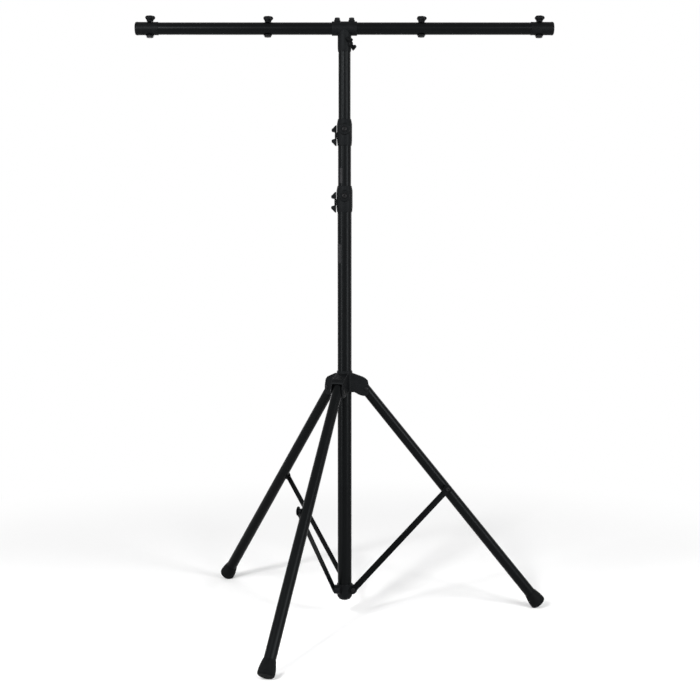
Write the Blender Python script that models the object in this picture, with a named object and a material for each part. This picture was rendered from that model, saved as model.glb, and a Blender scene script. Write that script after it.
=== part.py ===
"""Light stand with a two-arm T-bar on a three-stage telescopic mast and a folding tripod.

Metres, +Z up, the floor at z = 0. The origin is the middle of the floor that the stand covers.
"""

import math

import bmesh
import bpy
from mathutils import Matrix, Vector

# Clearances between pieces
SEAT_GAP = 0.0003
RUNNING_GAP = 0.0003
HOLE_GAP = 0.0003
CUT_REACH = 0.02

# Facets
TUBE_SIDES = 28
LEG_SIDES = 20
BOLT_SIDES = 12
STAR_SIDES = 20

# Tripod: three legs spread at equal steps round the mast
LEG_NAMES = ("front", "right", "left")
FRONT_LEG_AZIMUTH = math.radians(-19.5)
LEG_STEP = math.radians(120)
LEG_SPLAY = math.radians(38.8)
LEG_TOP_RADIUS = 0.015
LEG_END_RADIUS = 0.0168
LEG_TUBE_WALL = 0.0015
LEG_ABOVE_PIVOT = 0.012
LEG_REACH = 0.8564
LEG_PIVOT_RADIUS = 0.061

# Rubber boots on the legs' ends
BOOT_RADIUS = 0.0236
BOOT_LIP = 0.0012
BOOT_SLEEVE = 0.034
BOOT_END = 0.0105
BOOT_ROUNDING = 0.0075
BOOT_SOLE_ABOVE_CENTRE = 0.004
BOOT_FLAT = 0.0009

# Braces: flat strips from the foot of the mast to the legs
BRACE_LENGTH = 0.4095
BRACE_WIDTH = 0.019
BRACE_THICKNESS = 0.003
BRACE_EYE_RADIUS = 0.013
BRACE_SIDE_OFFSET = 0.026
BRACE_ALONG_LEG = 0.392
BRACE_PIVOT_RADIUS = 0.020
SPACER_RADIUS = 0.008

# Rivets and screws of the tripod
PIVOT_PIN_RADIUS = 0.004
PIN_HEAD_RADIUS = 0.0065
PIN_HEAD_HEIGHT = 0.003

# Leg hub: a sliding neck with three forked lugs
HUB_WALL = 0.0022
HUB_NECK_BELOW_PIVOT = 0.009
HUB_NECK_ABOVE_PIVOT = 0.0545
FORK_GAP = 0.0308
FORK_PLATE = 0.0032
FORK_ROOF_ABOVE_PIVOT = 0.020
FORK_REACH = 0.0098
HUB_LOCK_ABOVE_PIVOT = 0.0327
HUB_LOCK_BOSS_REACH = 0.0347

# Mast foot: a cup with three ears for the braces
MAST_FOOT_RADIUS = 0.0236
MAST_FOOT_BELOW_PIVOT = 0.0345
MAST_FOOT_ABOVE_PIVOT = 0.015
MAST_FOOT_FLOOR = 0.0175
EAR_RADIUS = 0.0135
EAR_SCREW_DEPTH = 0.010

# Mast tubes
TUBE_WALL = 0.0012
BASE_TUBE_RADIUS = 0.0205
MID_TUBE_RADIUS = 0.019
TOP_TUBE_RADIUS = 0.0175
BASE_TUBE_LENGTH = 1.1917
MID_TUBE_LENGTH = 1.169
TOP_TUBE_LENGTH = 1.154
MID_TUBE_SHOWING = 0.176
TOP_TUBE_SHOWING = 0.2340
BUSH_DEPTH = 0.020
BUSH_FLANGE = 0.004
BUSH_BORE = 0.008

# Clamping collars on the tubes' upper ends
COLLAR_HEIGHT = 0.076
COLLAR_OVER_TUBE = 0.061
COLLAR_WALL = 0.0027
COLLAR_TAPER = 0.014
COLLAR_RIM = 0.0014
COLLAR_KNOB_HEIGHT = 0.0285
COLLAR_BOLT_HEIGHT = 0.0465
BOLT_BOSS_RADIUS = 0.016
BOLT_BOSS_STANDS = 0.0035
COLLAR_BOLT_HEAD_RADIUS = 0.0075
COLLAR_BOLT_HEAD_HEIGHT = 0.004
KNOB_BOSS_STANDS = 0.0006

# Wing screws
WING_SCREW_RADIUS = 0.004
WING_HUB_RADIUS = 0.009
WING_HUB_HEIGHT = 0.004
WING_THICKNESS = 0.010
WING_HALF_SPAN = 0.031
WING_HEIGHT = 0.0148
WING_TIP_SPREAD = 0.0168
SMALL_WING = 0.74
COLLAR_WING_TILT = math.radians(12)
TEE_WING_TILT = math.radians(42)
TEE_KNOB_AZIMUTH = math.radians(50)

# Tee on top of the mast
TEE_WALL = 0.002
BAR_SLEEVE_WALL = 0.0025
TEE_DROP = 0.0655
TEE_TAPER = 0.010
TEE_HALF_LENGTH = 0.0362
TEE_KNOB_DROP = 0.0445
TEE_SCREW_OFFSET = 0.0206
WELD_NUT_RADIUS = 0.0096
WELD_NUT_HEIGHT = 0.0045
BAR_SCREW_HEAD_RADIUS = 0.0075
BAR_SCREW_HEAD_HEIGHT = 0.0055

# T-bar arms with their caps and lamp bolts
BAR_RADIUS = 0.0175
BAR_WALL = 0.0015
BAR_HALF_SPAN = 0.600
BAR_CENTRE_GAP = 0.001
CAP_WALL = 0.0013
CAP_END = 0.003
CAP_LENGTH = 0.066
CAP_EDGE = 0.005
LAMP_BOLT_FROM_END = 0.042
LAMP_BOLT_SPACING = 0.338
LAMP_BOLT_RADIUS = 0.005
LAMP_BOLT_HEAD_RADIUS = 0.0098
LAMP_BOLT_HEAD_HEIGHT = 0.0046
LAMP_BOLT_IN_KNOB = 0.012
WASHER_RADIUS = 0.0125
WASHER_THICKNESS = 0.002
STAR_LOBES = 5
STAR_FOOT_RADIUS = 0.0095
STAR_RADIUS = 0.0132
STAR_LOBE_DEPTH = 0.0020
STAR_HEIGHT = 0.0168

# Sizes that follow from the ones above
BOOT_RIM_Z = (BOOT_END - BOOT_ROUNDING) * math.cos(LEG_SPLAY)
BOOT_RIM_Z += (BOOT_RADIUS - BOOT_ROUNDING) * math.sin(LEG_SPLAY)
BOOT_CENTRE_Z = BOOT_RIM_Z + BOOT_ROUNDING - BOOT_FLAT
LEG_PIVOT_Z = LEG_REACH * math.cos(LEG_SPLAY) + BOOT_CENTRE_Z
BRACE_TOP_RADIUS = LEG_PIVOT_RADIUS + BRACE_ALONG_LEG * math.sin(LEG_SPLAY)
BRACE_TOP_Z = LEG_PIVOT_Z - BRACE_ALONG_LEG * math.cos(LEG_SPLAY)
BRACE_ANGLE = math.asin((BRACE_TOP_RADIUS - BRACE_PIVOT_RADIUS) / BRACE_LENGTH)
BRACE_PIVOT_Z = BRACE_TOP_Z - BRACE_LENGTH * math.cos(BRACE_ANGLE)
BRACE_INNER_FACE = BRACE_SIDE_OFFSET - BRACE_THICKNESS / 2
LEG_TAPER = (LEG_END_RADIUS - LEG_TOP_RADIUS) / (LEG_REACH + LEG_ABOVE_PIVOT)
LEG_AT_BRACE = LEG_TOP_RADIUS + LEG_TAPER * (BRACE_ALONG_LEG + LEG_ABOVE_PIVOT + SPACER_RADIUS)

MAST_FOOT_Z = BRACE_PIVOT_Z - MAST_FOOT_BELOW_PIVOT
BASE_TUBE_Z = MAST_FOOT_Z + MAST_FOOT_FLOOR + SEAT_GAP
BASE_TUBE_TOP = BASE_TUBE_Z + BASE_TUBE_LENGTH
COLLAR_LOWER_Z = BASE_TUBE_TOP - COLLAR_OVER_TUBE
MID_TUBE_TOP = COLLAR_LOWER_Z + COLLAR_HEIGHT + MID_TUBE_SHOWING
COLLAR_UPPER_Z = MID_TUBE_TOP - COLLAR_OVER_TUBE
TOP_TUBE_TOP = COLLAR_UPPER_Z + COLLAR_HEIGHT + TOP_TUBE_SHOWING

TEE_BORE = TOP_TUBE_RADIUS + RUNNING_GAP
TEE_RADIUS = TEE_BORE + TEE_WALL
BAR_BORE = BAR_RADIUS + RUNNING_GAP
BAR_SLEEVE_RADIUS = BAR_BORE + BAR_SLEEVE_WALL
BAR_Z = TOP_TUBE_TOP + SEAT_GAP + TEE_WALL + BAR_SLEEVE_RADIUS
HUB_BORE = BASE_TUBE_RADIUS + RUNNING_GAP
HUB_NECK_RADIUS = HUB_BORE + HUB_WALL
FORK_HALF_WIDTH = FORK_GAP / 2 + FORK_PLATE
OUTER_BOLT_OFFSET = BAR_HALF_SPAN - LAMP_BOLT_FROM_END
LAMP_BOLT_OFFSETS = {"inner": OUTER_BOLT_OFFSET - LAMP_BOLT_SPACING, "outer": OUTER_BOLT_OFFSET}


def material(name, colour, roughness, metallic):
    """A Principled BSDF material, made once for each name."""
    found = bpy.data.materials.get(name)
    if found:
        return found
    made = bpy.data.materials.new(name)
    made.use_nodes = True
    shader = made.node_tree.nodes["Principled BSDF"]
    shader.inputs["Base Color"].default_value = (*colour, 1)
    shader.inputs["Roughness"].default_value = roughness
    shader.inputs["Metallic"].default_value = metallic
    made.diffuse_color = (*colour, 1)
    return made


def painted_steel():
    return material("painted_steel", (0.022, 0.023, 0.025), 0.35, 0.0)


def cast_metal():
    return material("cast_metal", (0.025, 0.026, 0.028), 0.55, 0.0)


def moulded_plastic():
    return material("moulded_plastic", (0.018, 0.018, 0.019), 0.5, 0.0)


def blackened_screw():
    return material("blackened_screw", (0.05, 0.05, 0.052), 0.4, 0.8)


def boot_rubber():
    return material("boot_rubber", (0.012, 0.012, 0.013), 0.75, 0.0)


def place(mesh_data, name, finish, parent, location=(0, 0, 0), rotation=(0, 0, 0)):
    """An object from a bmesh, shaded smooth apart from its sharp edges."""
    mesh = bpy.data.meshes.new(name)
    bmesh.ops.recalc_face_normals(mesh_data, faces=mesh_data.faces)
    mesh_data.to_mesh(mesh)
    mesh_data.free()
    mesh.shade_smooth()
    mesh.set_sharp_from_angle(angle=math.radians(32))
    made = bpy.data.objects.new(name, mesh)
    bpy.context.scene.collection.objects.link(made)
    if finish:
        mesh.materials.append(finish)
    made.parent = parent
    made.location = location
    made.rotation_euler = rotation
    return made


def frame_at(name, parent=None, location=(0, 0, 0), rotation=(0, 0, 0)):
    """An empty that carries pieces."""
    made = bpy.data.objects.new(name, None)
    bpy.context.scene.collection.objects.link(made)
    made.parent = parent
    made.location = location
    made.rotation_euler = rotation
    return made


def heading(azimuth):
    """The level direction at an angle round the mast, counted from the front."""
    return Vector((math.sin(azimuth), -math.cos(azimuth), 0))


def facing(direction, spin=0.0):
    """The rotation that turns +Z to a direction and +Y upwards, after a spin about +Z."""
    turn = Vector(direction).to_track_quat("Z", "Y").to_matrix()
    return (turn @ Matrix.Rotation(spin, 3, "Z")).to_euler()


def hexagon(corner_radius):
    """The radius of a hexagon as a function of the angle."""
    flat = corner_radius * math.cos(math.pi / 6)
    return lambda angle: flat / math.cos(angle % (math.pi / 3) - math.pi / 6)


def star(radius, depth):
    """The radius of a lobed knob as a function of the angle."""
    return lambda angle: radius + depth * math.cos(STAR_LOBES * angle)


def turned(profile, sides, looped=False):
    """Points (radius, z) carried round the Z axis, with a flat facing each axis.

    A radius may be a function of the angle.
    """
    shape = bmesh.new()
    rings = []
    for radius, z in profile:
        if radius == 0:
            rings.append([shape.verts.new((0, 0, z))])
            continue
        ring = []
        for step in range(sides):
            angle = 2 * math.pi * step / sides
            reach = radius(angle) if callable(radius) else radius
            turn = angle + math.pi / sides
            ring.append(shape.verts.new((reach * math.cos(turn), reach * math.sin(turn), z)))
        rings.append(ring)
    pairs = list(zip(rings, rings[1:]))
    if looped:
        pairs.append((rings[-1], rings[0]))
    for one, other in pairs:
        centre, rim = sorted((one, other), key=len)
        if len(centre) == 1 and centre[0].co.z == rim[0].co.z:
            shape.faces.new(rim)
            shape.verts.remove(centre[0])
            continue
        for step in range(sides):
            after = (step + 1) % sides
            corners = [one[step % len(one)], one[after % len(one)]]
            corners += [other[after % len(other)], other[step % len(other)]]
            shape.faces.new(list(dict.fromkeys(corners)))
    return shape


def rod(radius, low, high, sides=BOLT_SIDES):
    return turned([(0, low), (radius, low), (radius, high), (0, high)], sides)


def pipe(outer, inner, low, high, sides=TUBE_SIDES):
    profile = [(inner, low), (outer, low), (outer, high), (inner, high)]
    return turned(profile, sides, looped=True)


def slab(outline, low, high):
    """An outline of (x, z) points given thickness along Y."""
    shape = bmesh.new()
    near = [shape.verts.new((x, low, z)) for x, z in outline]
    far = [shape.verts.new((x, high, z)) for x, z in outline]
    shape.faces.new(near)
    shape.faces.new(list(reversed(far)))
    for step in range(len(outline)):
        after = (step + 1) % len(outline)
        shape.faces.new((near[step], far[step], far[after], near[after]))
    return shape


def shape_with(target, operation, tool_shape, name, parent, location=(0, 0, 0), rotation=(0, 0, 0)):
    """Joins a hidden tool to a piece, or cuts it away."""
    tool = place(tool_shape, f"{target.name}_{name}", None, parent, location, rotation)
    tool.hide_render = True
    tool.display_type = "WIRE"
    step = target.modifiers.new(name, "BOOLEAN")
    step.operation = operation
    step.solver = "EXACT"
    step.object = tool


def add_to(target, *tool):
    shape_with(target, "UNION", *tool)


def cut_from(target, *tool):
    shape_with(target, "DIFFERENCE", *tool)


def side_hole(target, name, parent, azimuth, z, radius, start=0.010):
    """A round hole through the wall on one side of the mast's axis."""
    hole = rod(radius, start, start + 0.05, BOLT_SIDES)
    cut_from(target, hole, name, parent, (0, 0, z), facing(heading(azimuth)))


def wing_screw(name, parent, azimuth, z, seat, tip, tilt, size=1.0):
    """A hand screw with two ears. Its head lies on the seat and its point ends at the tip."""
    stem = [
        (0, tip - seat),
        (WING_SCREW_RADIUS, tip - seat),
        (WING_SCREW_RADIUS, 0),
        (WING_HUB_RADIUS, 0),
        (WING_HUB_RADIUS, WING_HUB_HEIGHT),
        (0, WING_HUB_HEIGHT),
    ]
    spot = heading(azimuth) * seat + Vector((0, 0, z))
    turn = facing(heading(azimuth), math.pi / 2 + tilt)
    screw = place(turned(stem, BOLT_SIDES), name, moulded_plastic(), parent, spot, turn)
    half = [(across * size, up) for across, up in wing_outline()]
    outline = half + [(-across, up) for across, up in reversed(half)]
    wings = slab(outline, -WING_THICKNESS / 2, WING_THICKNESS / 2)
    add_to(screw, wings, "wings", parent, spot, turn)


def wing_outline():
    """Half of the ears' outline, from the middle of the dip round the ear's tip to the foot."""
    dip = WING_HUB_HEIGHT - 0.0005
    return [
        (0.004, dip),
        (WING_TIP_SPREAD * 0.5, dip + 0.0012),
        (WING_TIP_SPREAD - 0.0054, WING_HEIGHT - 0.0034),
        (WING_TIP_SPREAD - 0.0038, WING_HEIGHT - 0.0009),
        (WING_TIP_SPREAD, WING_HEIGHT),
        (WING_TIP_SPREAD + 0.0026, WING_HEIGHT - 0.0010),
        (WING_TIP_SPREAD + 0.0050, WING_HEIGHT - 0.0040),
        (WING_HALF_SPAN - 0.0010, 0.0036),
        (WING_HALF_SPAN, 0.0020),
        (WING_HALF_SPAN - 0.0014, 0.0002),
    ]


def collar(name, parent, z, outer_tube, inner_tube):
    """A clamping collar that sits over one tube's end and guides the next tube."""
    lower_bore = outer_tube + SEAT_GAP
    upper_bore = inner_tube + RUNNING_GAP
    radius = lower_bore + COLLAR_WALL
    body = turned(
        [
            (0, z),
            (lower_bore + COLLAR_RIM, z),
            (radius, z + COLLAR_TAPER),
            (radius, z + COLLAR_HEIGHT - COLLAR_TAPER),
            (upper_bore + COLLAR_RIM, z + COLLAR_HEIGHT),
            (0, z + COLLAR_HEIGHT),
        ],
        TUBE_SIDES,
    )
    made = place(body, name, cast_metal(), parent)
    bolt_face = radius + BOLT_BOSS_STANDS
    knob_face = radius + KNOB_BOSS_STANDS
    boss = turned(
        [
            (0, lower_bore / 2),
            (BOLT_BOSS_RADIUS, lower_bore / 2),
            (BOLT_BOSS_RADIUS, bolt_face - 0.001),
            (BOLT_BOSS_RADIUS - 0.001, bolt_face),
            (0, bolt_face),
        ],
        LEG_SIDES,
    )
    bolt_z = z + COLLAR_BOLT_HEIGHT
    knob_z = z + COLLAR_KNOB_HEIGHT
    add_to(made, boss, "bolt_boss", parent, (0, 0, bolt_z), facing(heading(0)))
    knob_boss = rod(WING_HUB_RADIUS, lower_bore / 2, knob_face, LEG_SIDES)
    add_to(made, knob_boss, "knob_boss", parent, (0, 0, knob_z), facing(heading(-math.pi / 2)))
    bore = turned(
        [
            (0, z - CUT_REACH),
            (lower_bore, z - CUT_REACH),
            (lower_bore, z + COLLAR_OVER_TUBE + SEAT_GAP),
            (upper_bore, z + COLLAR_OVER_TUBE + SEAT_GAP),
            (upper_bore, z + COLLAR_HEIGHT + CUT_REACH),
            (0, z + COLLAR_HEIGHT + CUT_REACH),
        ],
        TUBE_SIDES,
    )
    cut_from(made, bore, "bore", parent)
    screw_hole = WING_SCREW_RADIUS + HOLE_GAP
    side_hole(made, "bolt_hole", parent, 0, bolt_z, screw_hole)
    side_hole(made, "knob_hole", parent, -math.pi / 2, knob_z, screw_hole)
    return bolt_face, knob_face


def collar_bolt(name, parent, z, face, tip):
    """The domed bolt that fixes a collar to its tube."""
    seat = face + SEAT_GAP
    head = COLLAR_BOLT_HEAD_HEIGHT
    profile = [
        (0, tip - seat),
        (WING_SCREW_RADIUS, tip - seat),
        (WING_SCREW_RADIUS, 0),
        (COLLAR_BOLT_HEAD_RADIUS, 0),
        (COLLAR_BOLT_HEAD_RADIUS, head * 0.35),
        (COLLAR_BOLT_HEAD_RADIUS * 0.8, head * 0.8),
        (COLLAR_BOLT_HEAD_RADIUS * 0.45, head),
        (0, head),
    ]
    spot = (0, -seat, z + COLLAR_BOLT_HEIGHT)
    place(turned(profile, BOLT_SIDES), name, blackened_screw(), parent, spot, facing(heading(0)))


def mast_tube(name, parent, radius, top, length):
    return place(pipe(radius, radius - TUBE_WALL, top - length, top), name, painted_steel(), parent)


def tube_bush(name, parent, tube_radius, tube_bottom):
    """The plug in a tube's lower end, with a flange that keeps it in the tube below."""
    body = tube_radius - TUBE_WALL - SEAT_GAP
    profile = [
        (BUSH_BORE, tube_bottom - SEAT_GAP - BUSH_FLANGE),
        (tube_radius, tube_bottom - SEAT_GAP - BUSH_FLANGE),
        (tube_radius, tube_bottom - SEAT_GAP),
        (body, tube_bottom - SEAT_GAP),
        (body, tube_bottom + BUSH_DEPTH),
        (BUSH_BORE, tube_bottom + BUSH_DEPTH),
    ]
    place(turned(profile, LEG_SIDES, looped=True), name, moulded_plastic(), parent)


def build_mast(stand):
    """The three tubes with their bushes, collars, bolts and wing screws."""
    screw_hole = WING_SCREW_RADIUS + HOLE_GAP
    mast_tube("base_tube", stand, BASE_TUBE_RADIUS, BASE_TUBE_TOP, BASE_TUBE_LENGTH)
    mast_tube("mid_tube", stand, MID_TUBE_RADIUS, MID_TUBE_TOP, MID_TUBE_LENGTH)
    mast_tube("top_tube", stand, TOP_TUBE_RADIUS, TOP_TUBE_TOP, TOP_TUBE_LENGTH)
    tube_bush("mid_tube_bush", stand, MID_TUBE_RADIUS, MID_TUBE_TOP - MID_TUBE_LENGTH)
    tube_bush("top_tube_bush", stand, TOP_TUBE_RADIUS, TOP_TUBE_TOP - TOP_TUBE_LENGTH)
    stages = (
        ("collar_lower", "base_tube", COLLAR_LOWER_Z, BASE_TUBE_RADIUS, MID_TUBE_RADIUS),
        ("collar_upper", "mid_tube", COLLAR_UPPER_Z, MID_TUBE_RADIUS, TOP_TUBE_RADIUS),
    )
    for name, tube_name, z, outer_tube, inner_tube in stages:
        bolt_face, knob_face = collar(name, stand, z, outer_tube, inner_tube)
        tube = bpy.data.objects[tube_name]
        side_hole(tube, "bolt_hole", stand, 0, z + COLLAR_BOLT_HEIGHT, screw_hole)
        side_hole(tube, "knob_hole", stand, -math.pi / 2, z + COLLAR_KNOB_HEIGHT, screw_hole)
        tip = inner_tube + RUNNING_GAP
        collar_bolt(f"{name}_bolt", stand, z, bolt_face, tip)
        knob_z = z + COLLAR_KNOB_HEIGHT
        seat = knob_face + SEAT_GAP
        knob = f"{name}_knob"
        wing_screw(knob, stand, -math.pi / 2, knob_z, seat, tip, COLLAR_WING_TILT)


def build_mast_foot(stand, leg_frames):
    """The cup under the base tube and the three ears that carry the braces."""
    low = MAST_FOOT_Z
    high = BRACE_PIVOT_Z + MAST_FOOT_ABOVE_PIVOT
    radius = MAST_FOOT_RADIUS
    dome = [
        (0, low),
        (radius * 0.42, low + 0.0010),
        (radius * 0.72, low + 0.0045),
        (radius * 0.92, low + 0.0115),
        (radius, low + 0.0210),
        (radius, high - 0.002),
        (radius - 0.001, high),
        (0, high),
    ]
    foot = place(turned(dome, TUBE_SIDES), "mast_foot", cast_metal(), stand)
    ear_face = BRACE_INNER_FACE - SEAT_GAP
    for leg_name, frame in leg_frames.items():
        spot = (BRACE_PIVOT_RADIUS, -ear_face, BRACE_PIVOT_Z)
        ear = rod(EAR_RADIUS, 0, ear_face - 0.004, LEG_SIDES)
        add_to(foot, ear, f"ear_{leg_name}", frame, spot, facing((0, 1, 0)))
    cup = rod(BASE_TUBE_RADIUS + SEAT_GAP, low + MAST_FOOT_FLOOR, high + CUT_REACH, TUBE_SIDES)
    cut_from(foot, cup, "cup", stand)
    for leg_name, frame in leg_frames.items():
        spot = (BRACE_PIVOT_RADIUS, -ear_face, BRACE_PIVOT_Z)
        hole = rod(PIVOT_PIN_RADIUS + HOLE_GAP, -CUT_REACH, EAR_SCREW_DEPTH)
        cut_from(foot, hole, f"screw_hole_{leg_name}", frame, spot, facing((0, 1, 0)))


def fork_outline():
    """One lug of the leg hub, seen from the side, in (radius, height above the leg's pivot)."""
    tip = LEG_PIVOT_RADIUS + FORK_REACH
    return [
        (HUB_NECK_RADIUS / 2, 0.0462),
        (HUB_NECK_RADIUS, 0.0462),
        (LEG_PIVOT_RADIUS - 0.003, 0.033),
        (LEG_PIVOT_RADIUS + 0.005, 0.0255),
        (tip - 0.002, 0.012),
        (tip, 0.002),
        (tip - 0.0015, -0.0138),
        (tip - 0.008, -0.0205),
        (LEG_PIVOT_RADIUS - 0.010, -0.0205),
        (LEG_PIVOT_RADIUS - 0.021, -0.0170),
        (HUB_NECK_RADIUS + 0.003, -HUB_NECK_BELOW_PIVOT),
        (HUB_NECK_RADIUS / 2, -HUB_NECK_BELOW_PIVOT),
    ]


def build_leg_hub(stand, leg_frames):
    """The hub that slides on the base tube, with its lock at the back between two legs."""
    low = LEG_PIVOT_Z - HUB_NECK_BELOW_PIVOT
    high = LEG_PIVOT_Z + HUB_NECK_ABOVE_PIVOT
    neck = [
        (0, low),
        (HUB_NECK_RADIUS, low),
        (HUB_NECK_RADIUS, high - 0.003),
        (HUB_NECK_RADIUS - 0.0012, high),
        (0, high),
    ]
    hub = place(turned(neck, TUBE_SIDES), "leg_hub", cast_metal(), stand)
    outline = [(across, LEG_PIVOT_Z + up) for across, up in fork_outline()]
    for leg_name, frame in leg_frames.items():
        lug = slab(outline, -FORK_HALF_WIDTH, FORK_HALF_WIDTH)
        add_to(hub, lug, f"lug_{leg_name}", frame)
    lock_azimuth = FRONT_LEG_AZIMUTH + math.pi
    lock_z = LEG_PIVOT_Z + HUB_LOCK_ABOVE_PIVOT
    boss = rod(WING_HUB_RADIUS, HUB_BORE / 2, HUB_LOCK_BOSS_REACH, LEG_SIDES)
    add_to(hub, boss, "lock_boss", stand, (0, 0, lock_z), facing(heading(lock_azimuth)))
    roof = LEG_PIVOT_Z + FORK_ROOF_ABOVE_PIVOT
    inner = HUB_NECK_RADIUS + 0.001
    outer = LEG_PIVOT_RADIUS + FORK_REACH + CUT_REACH
    gap = [(inner, low - CUT_REACH), (outer, low - CUT_REACH), (outer, roof), (inner, roof)]
    for leg_name, frame in leg_frames.items():
        slot = slab(gap, -FORK_GAP / 2, FORK_GAP / 2)
        cut_from(hub, slot, f"slot_{leg_name}", frame)
        hole = rod(PIVOT_PIN_RADIUS + HOLE_GAP, -FORK_HALF_WIDTH - 0.01, FORK_HALF_WIDTH + 0.01)
        spot = (LEG_PIVOT_RADIUS, 0, LEG_PIVOT_Z)
        cut_from(hub, hole, f"pivot_hole_{leg_name}", frame, spot, facing((0, 1, 0)))
    cut_from(hub, rod(HUB_BORE, low - CUT_REACH, high + CUT_REACH, TUBE_SIDES), "bore", stand)
    screw_hole = WING_SCREW_RADIUS + HOLE_GAP
    side_hole(hub, "lock_hole", stand, lock_azimuth, lock_z, screw_hole)
    seat = HUB_LOCK_BOSS_REACH + SEAT_GAP
    tip = BASE_TUBE_RADIUS + RUNNING_GAP
    wing_screw("leg_hub_knob", stand, lock_azimuth, lock_z, seat, tip, 0, SMALL_WING)


def rivet_profile(half_grip):
    """A pin with a domed head at each end."""
    head = [
        (PIVOT_PIN_RADIUS, half_grip),
        (PIN_HEAD_RADIUS, half_grip),
        (PIN_HEAD_RADIUS * 0.82, half_grip + PIN_HEAD_HEIGHT * 0.7),
        (0, half_grip + PIN_HEAD_HEIGHT),
    ]
    return [(radius, -z) for radius, z in reversed(head)] + head


def brace_screw_profile(shank):
    """A domed head on a plain shank that points down."""
    return [
        (0, -shank),
        (PIVOT_PIN_RADIUS, -shank),
        (PIVOT_PIN_RADIUS, 0),
        (PIN_HEAD_RADIUS, 0),
        (PIN_HEAD_RADIUS * 0.82, PIN_HEAD_HEIGHT * 0.7),
        (0, PIN_HEAD_HEIGHT),
    ]


def boot_profile():
    """A bell-shaped boot, cut through its middle, with z counted along the leg from its pivot."""
    centre = -LEG_REACH
    inside = centre + BOOT_SOLE_ABOVE_CENTRE - SEAT_GAP
    bore = LEG_END_RADIUS + SEAT_GAP
    top = centre + BOOT_SLEEVE
    lip = bore + BOOT_LIP
    flare = BOOT_RADIUS - lip
    profile = [
        (0, inside),
        (bore, inside),
        (bore, top),
        (lip, top),
        (lip + flare * 0.40, centre + BOOT_SLEEVE * 0.66),
        (lip + flare * 0.80, centre + BOOT_SLEEVE * 0.33),
        (BOOT_RADIUS, centre),
    ]
    for step in range(4):
        angle = math.radians(30 * step)
        across = BOOT_RADIUS - BOOT_ROUNDING + BOOT_ROUNDING * math.cos(angle)
        profile.append((across, centre - BOOT_END + BOOT_ROUNDING * (1 - math.sin(angle))))
    profile[-1] = (BOOT_RADIUS - BOOT_ROUNDING, centre - BOOT_END)
    profile.append((0, centre - BOOT_END))
    return profile


def build_leg(name, frame):
    """A leg tube on its pivot, with its rivet, boot and the spacer that its brace bears on."""
    pivot = (LEG_PIVOT_RADIUS, 0, LEG_PIVOT_Z)
    end = BOOT_SOLE_ABOVE_CENTRE - LEG_REACH
    profile = [
        (LEG_END_RADIUS - LEG_TUBE_WALL, end),
        (LEG_END_RADIUS, end),
        (LEG_TOP_RADIUS, LEG_ABOVE_PIVOT),
        (LEG_TOP_RADIUS - LEG_TUBE_WALL, LEG_ABOVE_PIVOT),
    ]
    tube = turned(profile, LEG_SIDES, looped=True)
    turn = (0, -LEG_SPLAY, 0)
    leg = place(tube, f"leg_{name}", painted_steel(), frame, pivot, turn)
    hole = rod(PIVOT_PIN_RADIUS + HOLE_GAP, -FORK_HALF_WIDTH, FORK_HALF_WIDTH)
    cut_from(leg, hole, "pivot_hole", frame, pivot, facing((0, 1, 0)))

    rivet = turned(rivet_profile(FORK_HALF_WIDTH + SEAT_GAP), BOLT_SIDES)
    place(rivet, f"leg_rivet_{name}", blackened_screw(), frame, pivot, facing((0, 1, 0)))

    boot = place(turned(boot_profile(), LEG_SIDES), f"leg_boot_{name}", boot_rubber(), leg)
    reach = LEG_PIVOT_RADIUS + LEG_REACH
    floor = slab([(0, -0.1), (reach, -0.1), (reach, 0), (0, 0)], -0.1, 0.1)
    cut_from(boot, floor, "sole", frame)

    spacer = rod(SPACER_RADIUS, LEG_AT_BRACE + SEAT_GAP, BRACE_INNER_FACE - SEAT_GAP)
    spot = (0, 0, -BRACE_ALONG_LEG)
    place(spacer, f"leg_spacer_{name}", cast_metal(), leg, spot, facing((0, -1, 0)))


def brace_outline():
    """A strip with a round lower end and a wider eye, its lower hole at the origin."""
    half = BRACE_WIDTH / 2
    neck = math.acos(half / BRACE_EYE_RADIUS)
    ends = ((0, half, math.pi, math.pi), (BRACE_LENGTH, BRACE_EYE_RADIUS, -neck, math.pi + 2 * neck))
    steps = 10
    outline = []
    for centre, radius, start, sweep in ends:
        for step in range(steps + 1):
            angle = start + sweep * step / steps
            outline.append((radius * math.cos(angle), centre + radius * math.sin(angle)))
    return outline


def build_brace(name, frame):
    """A flat brace on its lower screw, with the short screw at its upper end."""
    pivot = (BRACE_PIVOT_RADIUS, -BRACE_SIDE_OFFSET, BRACE_PIVOT_Z)
    half = BRACE_THICKNESS / 2
    strip = slab(brace_outline(), -half, half)
    brace = place(strip, f"brace_{name}", painted_steel(), frame, pivot, (0, BRACE_ANGLE, 0))
    for end, height in (("lower", 0), ("upper", BRACE_LENGTH)):
        hole = rod(PIVOT_PIN_RADIUS + HOLE_GAP, -CUT_REACH, CUT_REACH)
        cut_from(brace, hole, f"{end}_hole", brace, (0, 0, height), facing((0, 1, 0)))
    outside = facing((0, -1, 0))
    seat = half + SEAT_GAP
    upper = turned(brace_screw_profile(BRACE_THICKNESS + SEAT_GAP), BOLT_SIDES)
    spot = (0, -seat, BRACE_LENGTH)
    place(upper, f"brace_screw_upper_{name}", blackened_screw(), brace, spot, outside)
    shank = BRACE_THICKNESS + 2 * SEAT_GAP + EAR_SCREW_DEPTH - 0.001
    lower = turned(brace_screw_profile(shank), BOLT_SIDES)
    spot = (BRACE_PIVOT_RADIUS, -BRACE_SIDE_OFFSET - seat, BRACE_PIVOT_Z)
    place(lower, f"brace_screw_lower_{name}", blackened_screw(), frame, spot, outside)


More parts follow.
